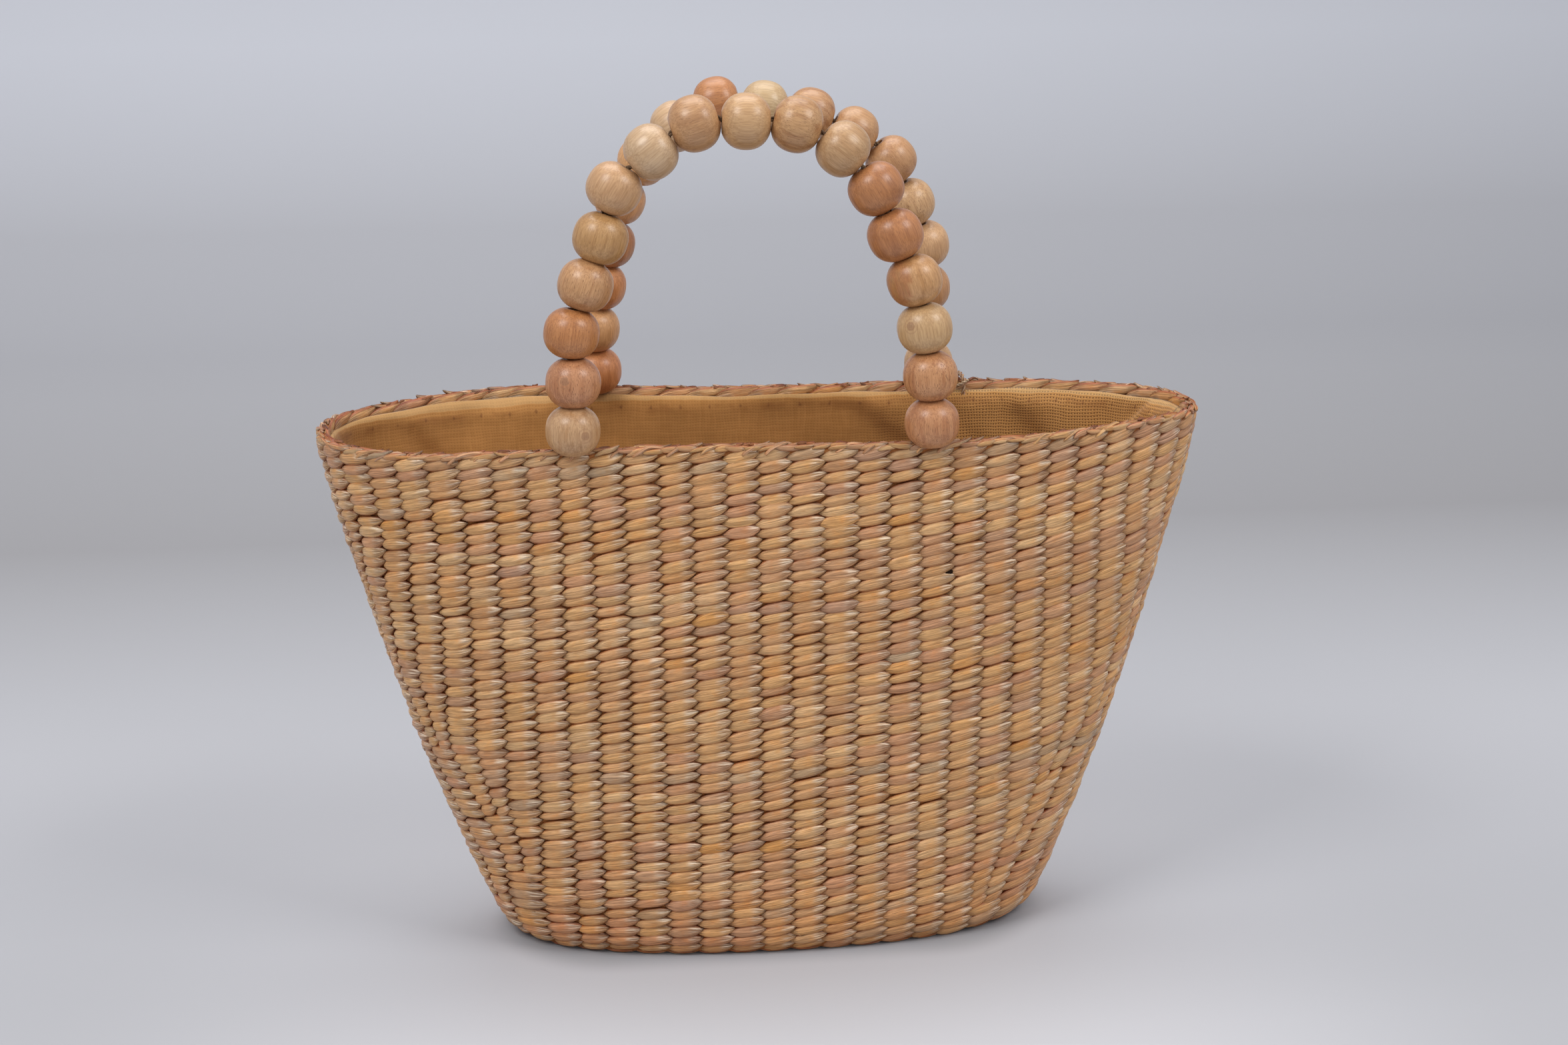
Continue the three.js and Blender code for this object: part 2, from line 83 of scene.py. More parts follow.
# Dents of the walls: wall (-1 front, 1 back), at, width, out
DENTS = [
    (1, -0.58, 0.28, 0.105),
    (1, 0.12, 0.36, -0.07),
    (1, 0.62, 0.2, 0.04),
    (-1, -0.72, 0.24, 0.06),
    (-1, -0.1, 0.4, -0.05),
    (-1, 0.86, 0.2, -0.03),
]

# Rises of the rim: wall, at, width, up
RIM_WAVES = [
    (1, -0.58, 0.3, 0.009),
    (-1, -0.8, 0.2, -0.008),
    (-1, 0.42, 0.3, -0.007),
    (-1, 0.86, 0.2, 0.003),
]

# Folds of the lining: column, wide, deep, reach
LINING_FOLDS = [
    (1.5, 1.3, 0.4, 0.5),
    (7, 1, 0.55, 0.7),
    (13.5, 1.1, 0.9, 0.9),
    (18.5, 1.2, 0.8, 0.8),
    (23, 1.4, 0.35, 0.6),
    (20.7, 0.8, 0.9, 0.75),
    (28.5, 1.2, 0.5, 0.7),
    (34, 1.5, 0.3, 0.5),
    (39.5, 1.3, 0.6, 0.8),
    (44.5, 1, 0.75, 0.7),
    (50.5, 1.2, 1, 0.9),
    (57, 1.4, 0.45, 0.6),
]
FOLD_DEPTH = 7
HEM_FOLD = 0.35
HEM_REACH = 0.12
LINING = 1
LINING_INSET = 5.6
LINING_FLOOR = 5.5
THREAD_PITCH = 1.5
HEM_STITCH = 15.0

# The beads and their strings
BEAD_DIAMETER = 25
BEAD_LENGTH = 21.3
BEAD_FLAT = 10.2
BEAD_BORE = 5
STRING_DIAMETER = 2.4
STRING_LOW = BODY_HEIGHT + 1
STRING_POINTS = 520
STRING_LAY = 5.5

# The weave. Columns join the fan at each end of the bag at these heights: end, column, height
COURSE = 5.25
FIRST_COURSE = 3.0
LAST_COURSE = 255.2
BIRTHS = {
    "right": {8: 18, 9: 48, 10: 80, 12: 108, 13: 146, 15: 184},
    "left": {9: 42, 10: 72, 12: 105, 13: 20, 14: 140, 15: 180},
}
BIRTH_RAMP = 45


def seeded(number):
    return np.random.default_rng(number)


# Shape of the basket

LEVELS = 161
SHARES = 241
OUTLINE_STEPS = 700


def quarter_outline(half_length, half_depth, roundness):
    angle = np.linspace(0, math.pi / 2, OUTLINE_STEPS)
    x = half_length * np.sin(angle) ** (2 / roundness)
    y = half_depth * np.maximum(np.cos(angle), 0) ** (2 / roundness)
    y[-1] = 0
    lengths = np.concatenate([[0], np.cumsum(np.hypot(np.diff(x), np.diff(y)))])
    share = np.linspace(0, lengths[-1], SHARES)
    return np.interp(share, lengths, x), np.interp(share, lengths, y), lengths[-1]


def section_at(height):
    spread = np.interp(height, SECTION_HEIGHT, SECTION_SPREAD)
    swell = np.interp(height, SECTION_HEIGHT, SECTION_SWELL)
    return (
        BASE_HALF_LENGTH + (RIM_HALF_LENGTH - BASE_HALF_LENGTH) * spread,
        BASE_HALF_DEPTH + (RIM_HALF_DEPTH - BASE_HALF_DEPTH) * swell,
        BASE_ROUNDNESS + (RIM_ROUNDNESS - BASE_ROUNDNESS) * height,
    )


OUTLINES = [quarter_outline(*section_at(h)) for h in np.linspace(0, 1, LEVELS)]
OUTLINE_X = np.array([outline[0] for outline in OUTLINES])
OUTLINE_Y = np.array([outline[1] for outline in OUTLINES])
QUARTER_LENGTHS = np.array([outline[2] for outline in OUTLINES])
RIM_PITCH = QUARTER_LENGTHS[-1] / COLUMNS_PER_QUARTER


def quarter_length(height):
    return np.interp(height, np.linspace(0, 1, LEVELS), QUARTER_LENGTHS)


def bilinear(table, height, share):
    row = np.clip(height, 0, 1) * (LEVELS - 1)
    column = np.clip(share, 0, 1) * (SHARES - 1)
    i = np.minimum(row.astype(int), LEVELS - 2)
    j = np.minimum(column.astype(int), SHARES - 2)
    a, b = row - i, column - j
    low = table[i, j] * (1 - b) + table[i, j + 1] * b
    high = table[i + 1, j] * (1 - b) + table[i + 1, j + 1] * b
    return low * (1 - a) + high * a


def sum_of_bells(rows, wall, place):
    total = np.zeros_like(place)
    for side, at, width, amount in rows:
        total += np.where(wall == side, amount * np.exp(-(((place - at) / width) ** 2)), 0)
    return total


def quarter_place(turn):
    """The share of the way from a wall's middle to its end, the side (-1 left, 1 right) and the wall."""
    turn = np.mod(np.asarray(turn, float), 4)
    quarter = np.minimum(turn.astype(int), 3)
    share = np.where(quarter % 2 == 0, turn - quarter, quarter + 1 - turn)
    side = np.where(quarter < 2, 1, -1)
    wall = np.where((quarter == 0) | (quarter == 3), -1, 1)
    return share, side, wall


def skin(turn, height):
    """The outer face in millimetres. turn: quarters round the bag from the front's middle, by the right."""
    height = np.asarray(height, float)
    share, side, wall = quarter_place(turn)
    x = bilinear(OUTLINE_X, height, share)
    y = bilinear(OUTLINE_Y, height, share)
    place = side * x / RIM_HALF_LENGTH
    ends = np.minimum(1, y / (END_FADE * RIM_HALF_DEPTH))
    lift = np.clip(height, 0, 1)
    bulge = RIM_HALF_DEPTH * sum_of_bells(DENTS, wall, place) * lift**DENT_FADE * ends
    rise = BODY_HEIGHT * sum_of_bells(RIM_WAVES, wall, place) * lift**RISE_FADE * ends
    return np.stack([side * x, wall * (y + bulge), BODY_HEIGHT * height + rise], -1)


def unit(vectors):
    return vectors / np.maximum(np.linalg.norm(vectors, axis=-1, keepdims=True), 1e-9)


def skin_frame(turn, height):
    """Point, direction to the right, direction upward and outward normal."""
    turn_step, height_step = 0.012, 0.02
    point = skin(turn, height)
    across = unit(skin(turn + turn_step, height) - skin(turn - turn_step, height))
    low = np.clip(height - height_step, 0, 1)
    climb = unit(skin(turn, low + 2 * height_step) - skin(turn, low))
    outward = unit(np.cross(across, climb))
    return point, across, np.cross(outward, across), outward


def column_places(height):
    """Where the lines of columns 0 to 16 of one end stand, in millimetres from the wall's middle."""
    places = {}
    total = quarter_length(height)
    for end, births in BIRTHS.items():
        gaps = [np.full_like(height, RIM_PITCH) for _ in range(STRAIGHT_COLUMNS)]
        weights = []
        for column in range(STRAIGHT_COLUMNS + 1, COLUMNS_PER_QUARTER + 1):
            birth = births.get(column)
            if birth is None:
                weights.append(np.ones_like(height))
            else:
                part = np.clip((height * BODY_HEIGHT - birth) / BIRTH_RAMP, 0, 1)
                weights.append(part * part * (3 - 2 * part))
        left = total - STRAIGHT_COLUMNS * RIM_PITCH
        scale = left / sum(weights)
        gaps += [weight * scale for weight in weights]
        places[end] = np.concatenate([[np.zeros_like(height)], np.cumsum(gaps, axis=0)])
    return places


# Meshes

def mesh_object(name, points, quads, triangles=(), attributes=None):
    """points in millimetres. attributes: name to an array with 1, 3 or 4 values a point."""
    points = np.asarray(points, float).reshape(-1, 3) * MM
    quads = np.asarray(quads, np.int32).reshape(-1, 4)
    triangles = np.asarray(triangles, np.int32).reshape(-1, 3)
    mesh = bpy.data.meshes.new(name)
    mesh.vertices.add(len(points))
    mesh.vertices.foreach_set("co", points.astype(np.float32).ravel())
    corners = np.concatenate([quads.ravel(), triangles.ravel()])
    mesh.loops.add(len(corners))
    mesh.loops.foreach_set("vertex_index", corners.astype(np.int32))
    starts = np.concatenate([
        np.arange(len(quads)) * 4,
        len(quads) * 4 + np.arange(len(triangles)) * 3,
    ])
    mesh.polygons.add(len(starts))
    mesh.polygons.foreach_set("loop_start", starts.astype(np.int32))
    mesh.polygons.foreach_set("use_smooth", np.full(len(starts), True))
    mesh.update(calc_edges=True)
    for key, values in (attributes or {}).items():
        values = np.asarray(values, np.float32)
        width = 1 if values.ndim == 1 else values.shape[-1]
        kind, field = {1: ("FLOAT", "value"), 3: ("FLOAT_VECTOR", "vector"),
                       4: ("FLOAT_COLOR", "color")}[width]
        layer = mesh.attributes.new(key, kind, "POINT")
        layer.data.foreach_set(field, values.ravel())
    mesh.validate()
    obj = bpy.data.objects.new(name, mesh)
    bpy.context.scene.collection.objects.link(obj)
    return obj


def finish_piece(obj, material, node):
    """Gives a piece its material, parents it to the root body, and hides the solid of the model that it
    stands for.
    """
    obj.data.materials.append(material)
    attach(obj, "root")
    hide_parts(node)


def grid_quads(rows, columns, closed_rows=False, closed_columns=False):
    """Faces of a grid of points, row by row."""
    row_count = rows if closed_rows else rows - 1
    column_count = columns if closed_columns else columns - 1
    i, j = np.meshgrid(np.arange(row_count), np.arange(column_count), indexing="ij")
    next_i, next_j = (i + 1) % rows, (j + 1) % columns
    corners = [i * columns + j, i * columns + next_j, next_i * columns + next_j, next_i * columns + j]
    return np.stack(corners, -1).reshape(-1, 4)


def fan(ring, centre, turned=False):
    """Triangles between a ring of points and one more point."""
    following = np.roll(ring, -1)
    pair = (following, ring) if turned else (ring, following)
    return np.stack([*pair, np.full(len(ring), centre)], -1)


def capped_rings(rings, ends):
    """Points, quads and triangles of a closed body: rings of points, and a point at each end."""
    rows, around = len(rings), len(rings[0])
    points = np.concatenate([np.reshape(rings, (-1, 3)), ends])
    ring = np.arange(around)
    caps = [fan(ring, rows * around, turned=True), fan((rows - 1) * around + ring, rows * around + 1)]
    return points, grid_quads(rows, around, closed_columns=True), np.concatenate(caps)


def parts_object(name, parts):
    """One object out of several parts, each with points, quads, triangles, fibre and tone."""
    starts = np.cumsum([0] + [len(part["points"]) for part in parts])
    joined = {key: np.concatenate([part[key] for part in parts]) for key in ("points", "fibre", "tone")}
    for key in ("quads", "triangles"):
        joined[key] = np.concatenate([part[key] + start for part, start in zip(parts, starts)])
    tone = np.concatenate([joined["tone"], np.ones((starts[-1], 1))], 1)
    return mesh_object(name, joined["points"], joined["quads"], joined["triangles"],
                       {"fibre": joined["fibre"], "tone": tone})


# Leaves: every stitch and strand of the weave is a flattened stem with pointed ends

FRONT_STEPS = 8
BACK_STEPS = 2
LEAF_SQUARENESS = 2.25
RIDGED_FROM = 0.2
TIP_SHARE = 0.985


def tip_shares(count):
    """Stations of a leaf from -1 to 1, closer together near its tips."""
    return np.sin(np.linspace(-0.5, 0.5, count) * math.pi) * TIP_SHARE


def leaf_section():
    angle = np.concatenate([
        np.linspace(0, math.pi, FRONT_STEPS + 1),
        np.linspace(math.pi, 2 * math.pi, BACK_STEPS + 1)[1:-1],
    ])
    power = 2 / LEAF_SQUARENESS
    across = np.sign(np.cos(angle)) * np.abs(np.cos(angle)) ** power
    out = np.sign(np.sin(angle)) * np.abs(np.sin(angle)) ** power
    return across, out


def leaf_part(spine, upward, outward, half_height, front, back, reach, tone, seed, ridges=0.0):
    """Arrays of many leaves. spine, upward, outward: leaf, station, 3. The rest: leaf, station or leaf."""
    leaves, stations = half_height.shape
    across, out = leaf_section()
    around = len(across)
    depth = np.where(out > 0, front[:, :, None], back[:, :, None]) * out
    depth = depth * (1 + ridges * (out > RIDGED_FROM))
    points = (
        spine[:, :, None, :]
        + upward[:, :, None, :] * (half_height[:, :, None] * across)[..., None]
        + outward[:, :, None, :] * depth[..., None]
    )
    points = points.reshape(-1, 3)
    # Ring faces run from the first station to the last, tips are single points
    ring = grid_quads(stations, around, closed_columns=True)
    starts = np.arange(leaves) * stations * around
    quads = (starts[:, None, None] + ring[None]).reshape(-1, 4)
    count = leaves * stations * around
    tips = np.concatenate([spine[:, 0], spine[:, -1]])
    j = np.arange(around)
    first = np.stack([starts[:, None] + (j + 1) % around, starts[:, None] + j,
                      np.broadcast_to(count + np.arange(leaves)[:, None], (leaves, around))], -1)
    last_ring = starts[:, None] + (stations - 1) * around
    last = np.stack([last_ring + j, last_ring + (j + 1) % around,
                     np.broadcast_to(count + leaves + np.arange(leaves)[:, None], (leaves, around))], -1)
    triangles = np.concatenate([first, last]).reshape(-1, 3)
    along = np.broadcast_to(reach[:, :, None], (leaves, stations, around))
    side = np.broadcast_to(across, (leaves, stations, around))
    number = np.broadcast_to(seed[:, None, None], (leaves, stations, around))
    fibre = np.stack([along, side, number], -1).reshape(-1, 3)
    tip_fibre = np.concatenate([
        np.stack([reach[:, 0], np.zeros(leaves), seed], -1),
        np.stack([reach[:, -1], np.zeros(leaves), seed], -1),
    ])
    colour = np.repeat(tone, stations * around, axis=0)
    return {
        "points": np.concatenate([points, tips]),
        "quads": quads[:, ::-1],
        "triangles": triangles[:, ::-1],
        "fibre": np.concatenate([fibre, tip_fibre]),
        "tone": np.concatenate([colour, tone, tone]),
    }


# Straw colours, linear
STRAW = {
    "gold": (0.57, 0.335, 0.14),
    "tan": (0.53, 0.295, 0.133),
    "pink": (0.50, 0.265, 0.145),
    "cream": (0.63, 0.415, 0.21),
    "mauve": (0.43, 0.255, 0.165),
    "ochre": (0.56, 0.285, 0.085),
    "grey": (0.43, 0.31, 0.195),
}
STRAW_SHARES = {"gold": 0.34, "tan": 0.25, "pink": 0.15, "cream": 0.16, "mauve": 0.04,
                "ochre": 0.04, "grey": 0.02}


def straw_tones(random, count):
    names = list(STRAW_SHARES)
    picks = random.choice(len(names), count, p=np.array(list(STRAW_SHARES.values())))
    base = np.array([STRAW[name] for name in names])[picks]
    other = np.array([STRAW[name] for name in names])[random.integers(0, 4, count)]
    base = base + (other - base) * random.uniform(0, 0.3, (count, 1))
    return base * random.normal(1, 0.05, (count, 1))


# The weave's stitches

STATIONS = 11
STATION_SHARES = tip_shares(STATIONS)
LEFT_REACH = 1.3
RIGHT_REACH = 1.28
STITCH_HEIGHT = 3.36
STITCH_FRONT = 2.3
STITCH_BACK = 1.0
STITCH_DEPTH = 2.05
FULL_WIDTH = 13
PLUMP_CHANCE = 0.09
PLUMPER = 1.16
FIRST_PLUMP = 0.86
FIRST_CURL = 1.1
COURSE_WAVES = 9
LONGEST_STRAW = 19
OWN_STRAW_CHANCE = 0.16

# How much stitches differ from one another: shares of a size, the slant, and millimetres
SPREAD = {
    "reach": 0.03, "height": 0.08, "front": 0.06, "slant": 0.022,
    "twist": 0.3, "bow": 0.3, "level": 0.2, "depth": 0.12, "ridge": 0.05, "ridge_turn": 0.045,
}

# The straw of the lowest courses is warmer: up to this share of the height, and by how much
WARM_BELOW = 0.28
WARMTH = np.array([0.07, -0.03, -0.13])


def course_waves(turn, height):
    """How far the courses wander up and down, in millimetres."""
    random = seeded(11)
    total = np.zeros_like(turn)
    for _ in range(COURSE_WAVES):
        cycles = random.integers(1, 9)
        climb = random.uniform(-9, 9)
        start = random.uniform(0, 2 * math.pi)
        total += np.sin(cycles * turn * math.pi / 2 + climb * height + start) * random.uniform(0.1, 0.4)
    return total


def stitch_climb(turn, height):
    """How far a stitch rises over its column's width, in millimetres: about half a course.

    It rises most at the right end, and least low down at the left."""
    from_front = np.mod(turn + 2, 4) - 2
    right = np.clip(from_front, -1, 1)
    share = 0.56 + 0.06 * right
    share = share + 0.14 * np.clip(right - 0.35, 0, 1) - 0.05 * np.clip(-right - 0.2, 0, 1)
    low = np.clip(1 - height / 0.2, 0, 1)
    return COURSE * share * (1 - 0.4 * low * (from_front < 0))


def column_sway(heights, quarter):
    """How far each column wanders from its place, in millimetres. Those that two quarters share stay."""
    random = seeded(300 + quarter)
    steady = random.normal(0, 0.75, (COLUMNS_PER_QUARTER + 1, 1))
    swing = random.normal(0, 0.55, (COLUMNS_PER_QUARTER + 1, 1))
    start = random.uniform(0, 2 * math.pi, (COLUMNS_PER_QUARTER + 1, 1))
    sway = steady * np.clip(heights / 0.3, 0.3, 1) + swing * np.sin(7 * heights + start)
    sway[[0, -1]] = 0
    return sway


def list_stitches():
    """Rows of column, course, turn, height and width."""
    rows = []
    courses = np.arange(FIRST_COURSE, LAST_COURSE, COURSE)
    heights = courses / BODY_HEIGHT
    places = column_places(heights)
    total = quarter_length(heights)
    quarters = [("right", 0, 1), ("right", 2, -1), ("left", 2, 1), ("left", 4, -1)]
    for quarter, (end, middle, way) in enumerate(quarters):
        sway = column_sway(heights, quarter)
        births = BIRTHS[end]
        whole = quarter in (0, 2)
        for course, z in enumerate(courses):
            born = [k for k in range(COLUMNS_PER_QUARTER + 1) if births.get(k, -1) < z]
            lines = [places[end][k, course] + sway[k, course] for k in born]
            for index, k in enumerate(born):
                if k in (0, COLUMNS_PER_QUARTER) and not whole:
                    continue
                here = lines[index]
                before = lines[index - 1] if index else -lines[1]
                after = lines[index + 1] if index + 1 < len(born) else 2 * here - before
                width = (after - before) / 2
                at = here if k in (0, COLUMNS_PER_QUARTER) else (before + 2 * here + after) / 4
                turn = middle + way * at / total[course]
                column = 2 * COLUMNS_PER_QUARTER * (middle // 2) + way * k
                rows.append((column % COLUMNS, course, turn % 4, heights[course], width))
    return np.array(rows)


def strand_tones(stitches):
    """Two strands run round each course and show on every other column. Each straw lasts some stitches."""
    random = seeded(23)
    courses = int(stitches[:, 1].max()) + 1
    tones = np.zeros((courses, 2, COLUMNS, 3))
    for course in range(courses):
        for strand in range(2):
            column = 0
            while column < COLUMNS:
                length = random.integers(5, LONGEST_STRAW)
                tones[course, strand, column:column + length] = straw_tones(random, 1)
                column += length
    column = stitches[:, 0].astype(int)
    picked = tones[stitches[:, 1].astype(int), column % 2, column]
    own = straw_tones(random, len(stitches))
    share = np.where(random.random(len(stitches)) < OWN_STRAW_CHANCE, 0.85, 0.22)[:, None]
    return picked + (own - picked) * share


# Stitches of their own colour: turn, height, tone
SPOTS = [
    (3.661, 0.975, "grey"), (3.5715, 0.5865, "ochre"), (3.8452, 0.6842, "ochre"),
    (0.2576, 0.8722, "ochre"), (0.6127, 0.4085, "ochre"), (3.7958, 0.2431, "ochre"),
    (3.9706, 0.2456, "ochre"), (0.2563, 0.6115, "grey"), (3.51, 0.80, "mauve"),
]

# Gaps in the weave, filled with painted shade: turn and height
GAPS = [(3.6142, 0.7694), (0.3564, 0.7719), (3.3887, 0.6717)]
GAP_HALF_LENGTH = 2.4
GAP_HALF_HEIGHT = 1.5
GAP_THICK = 0.8
GAP_SUNK = 1.15
SMALL_STATIONS = 7

# Loose fibres that show: turn and height. As many again as LOOSE_FIBRES lie elsewhere.
FIBRES = [
    (3.1697, 0.985), (3.8305, 0.236), (3.8385, 0.158), (0.4125, 0.128), (3.2712, 0.16), (3.28, 0.165),
]
LOOSE_FIBRES = 40
FIBRE_POINTS = 9


def nearest_stitch(stitches, turn, height):
    away = (np.mod(stitches[:, 2] - turn + 2, 4) - 2) * RIM_HALF_LENGTH
    rise = (stitches[:, 3] - height) * BODY_HEIGHT
    return int(np.argmin(away**2 + (2 * rise) ** 2))


def build_gaps():
    """Small gaps where strands have parted, filled with near-black leaves: painted shade inside the weave.
    """
    g = Graph("weave_gap_shade")
    grain = g.noise(g.node("ShaderNodeNewGeometry", output="Position"), 300.0)
    colour = g.mix(grain, (0.006, 0.003, 0.002), (0.03, 0.014, 0.008))
    material = g.set(color=colour, roughness=0.9, specular=0.05)
    turn, height = np.array(GAPS).T
    share = tip_shares(SMALL_STATIONS)
    reach = np.ones((len(GAPS), 1)) * share * GAP_HALF_LENGTH
    station = turn[:, None] + reach / quarter_length(height)[:, None]
    point, _, upward, outward = skin_frame(station, height[:, None] + 0 * station)
    body = np.sqrt(1 - share**2) * np.ones((len(GAPS), 1))
    part = leaf_part(
        point - outward * GAP_SUNK, upward, outward, GAP_HALF_HEIGHT * body, GAP_THICK * body,
        GAP_THICK * body, reach, np.zeros((len(GAPS), 3)), np.zeros(len(GAPS)))
    finish_piece(parts_object("weave_gaps", [part]), material, "basket_wall")


def build_fibres(material):
    """Loose fibres that stand off the weave."""
    random = seeded(67)
    tubes, tones = [], []
    loose = zip(random.uniform(0, 4, LOOSE_FIBRES), random.uniform(0.05, 0.97, LOOSE_FIBRES))
    for turn, height in FIBRES + list(loose):
        ends = np.array([0, 0.35, 0.7, 1]) * random.uniform(4, 11)
        turns = turn + ends / quarter_length(height)
        heights = height + np.cumsum(random.normal(0, 0.8, 4)) / BODY_HEIGHT
        point, _, _, outward = skin_frame(turns, heights)
        off = np.array([-0.6, 0.15, 0.35, 0.2]) + random.normal(0, 0.1, 4)
        route, _ = smooth_route(point + outward * off[:, None], FIBRE_POINTS)
        tubes.append((route, np.full(FIBRE_POINTS, random.uniform(0.09, 0.2)), 4))
        tones.append(np.array(STRAW["cream"]) * random.uniform(0.75, 1.2))
    finish_piece(tubes_object("weave_fibres", tubes, tones), material, "basket_wall")


def stitch_part(stitches, tones, random):
    """The leaves of a set of stitches. A stitch's left tip dives under its neighbour."""
    count = len(stitches)
    _, _, turn, height, width = stitches.T
    share = STATION_SHARES[None, :]
    away = np.abs(share)
    leftward = share < 0

    def vary(what, middle=0.0):
        return random.normal(middle, SPREAD[what], count)

    left = (width / 2 * LEFT_REACH * vary("reach", 1))[:, None]
    right = (width / 2 * RIGHT_REACH * vary("reach", 1))[:, None]
    reach = np.where(leftward, left * share, right * share)
    plump = np.where(random.random(count) < PLUMP_CHANCE, PLUMPER, 1.0)
    narrow = np.clip(width / FULL_WIDTH, 0.55, 1) ** 0.4

    # Where each stitch runs: its slant, the twist of its tips, its bow and its level
    climb = reach * (stitch_climb(turn, height) / width + vary("slant"))[:, None]
    climb = climb + vary("twist", 0.3)[:, None] * share * (share**2 - 0.5)
    climb = climb + vary("bow")[:, None] * (1 - share**2) + vary("level")[:, None]
    station_turn = turn[:, None] + reach / quarter_length(height)[:, None]
    wave = course_waves(station_turn, np.broadcast_to(height[:, None], station_turn.shape))
    fade = np.clip(np.minimum(height, 1 - height) / 0.06, 0, 1)[:, None]
    station_height = height[:, None] + (climb + wave * fade) / BODY_HEIGHT
    point, _, upward, outward = skin_frame(station_turn, station_height)

    # How high and thick it is: a little more towards the bag's ends, and less in the first course
    ends = np.clip(np.abs(np.mod(turn + 2, 4) - 2) - 0.35, 0, 0.6)
    above_first = height * BODY_HEIGHT - FIRST_COURSE
    high = STITCH_HEIGHT * plump * (1 + 0.16 * ends) * vary("height", 1)
    high = np.where(above_first < 1, FIRST_PLUMP * high, high)
    half_height = high[:, None] * np.where(leftward, 1 - away**2.5, 1 - away**2.9)
    body = np.where(leftward, (1 - away**3) ** 0.7, (1 - away**4) ** 0.6) * narrow[:, None]
    front = (STITCH_FRONT * plump * (1 + 0.15 * ends) * vary("front", 1))[:, None] * body
    dive = np.where(leftward, 0.75 * away**3, 0.3 * away**4)
    sunk = STITCH_DEPTH + dive + vary("depth")[:, None]
    curl = FIRST_CURL * np.clip(1 - above_first, 0, 1)
    spine = point - outward * (sunk + curl[:, None])[..., None]
    around = len(leaf_section()[0])
    ridges = random.normal(0, SPREAD["ridge"], (count, 1, around))
    ridges = ridges + random.normal(0, SPREAD["ridge_turn"], (count, 1, around)) * share[..., None]
    seed = random.uniform(0, 60, count)
    return leaf_part(spine, upward, outward, half_height, front, STITCH_BACK * body, reach, tones, seed,
                     ridges)


def build_weave(material):
    stitches = list_stitches()
    tones = strand_tones(stitches)
    for turn, height, tone in SPOTS:
        tones[nearest_stitch(stitches, turn, height)] = STRAW[tone]
    tones = tones * (1 + np.clip(1 - stitches[:, 3:4] / WARM_BELOW, 0, 1) * WARMTH)
    turn = stitches[:, 2]
    walls = {
        "weave_front_right": (0, 0.72),
        "weave_right_end": (0.72, 1.28),
        "weave_back_right": (1.28, 2),
        "weave_back_left": (2, 2.72),
        "weave_left_end": (2.72, 3.28),
        "weave_front_left": (3.28, 4),
    }
    for number, (name, (start, end)) in enumerate(walls.items()):
        chosen = (turn >= start) & (turn < end)
        part = stitch_part(stitches[chosen], tones[chosen], seeded(40 + number))
        finish_piece(parts_object(name, [part]), material, "basket_wall")


# Inner shell that the stitches wrap, dark: partly its own colour, partly painted shade of the crevices
# between the stitches

CORE_OUT = 2.35
CORE_IN = WALL - 0.1
CORE_LOW = 1.6
CORE_FLOOR = FLOOR - 0.2
CORE_AROUND = 192
CORE_OUTER_HEIGHTS = [3, 8, 16, 30, 60, 100, 150, 200, 240, BODY_HEIGHT + 1]
CORE_INNER_HEIGHTS = [BODY_HEIGHT - 0.5, 200, 150, 100, 60, 30, 16]


def at_level(ring, share, z):
    """A ring of points drawn in towards the middle and laid at a level."""
    return ring * [share, share, 0] + [0, 0, z]


def build_core(material):
    turn = np.arange(CORE_AROUND) * 4 / CORE_AROUND

    def rings_at(heights, inset):
        for z in heights:
            point, _, _, outward = skin_frame(turn, np.full(CORE_AROUND, z / BODY_HEIGHT))
            yield point - outward * inset

    rings = [*rings_at(CORE_OUTER_HEIGHTS, CORE_OUT), *rings_at(CORE_INNER_HEIGHTS, CORE_IN)]
    rings = [at_level(rings[0], 0.985, CORE_LOW), *rings, at_level(rings[-1], 0.93, CORE_FLOOR)]
    obj = mesh_object("weave_core", *capped_rings(rings, [[0, 0, CORE_LOW], [0, 0, CORE_FLOOR]]))
    finish_piece(obj, material, "basket_wall")


# Underside: rings of stitches from the edge of the base to its middle

UNDER_PITCH = 4.9
UNDER_WIDTH = 15
UNDER_INSET = 3.2
UNDER_LEVEL = 1.55
UNDER_HALF_HEIGHT = 2.5
UNDER_FRONT = 1.5
UNDER_BACK = 1.2


def base_point(turn, inset):
    """A point of the base's outline, moved inward, in millimetres."""
    share, side, wall = quarter_place(turn)
    x = bilinear(OUTLINE_X, np.zeros_like(share), share) * (1 - inset / BASE_HALF_LENGTH)
    y = bilinear(OUTLINE_Y, np.zeros_like(share), share) * (1 - inset / BASE_HALF_DEPTH)
    return np.stack([side * x, wall * y, np.zeros_like(x)], -1)


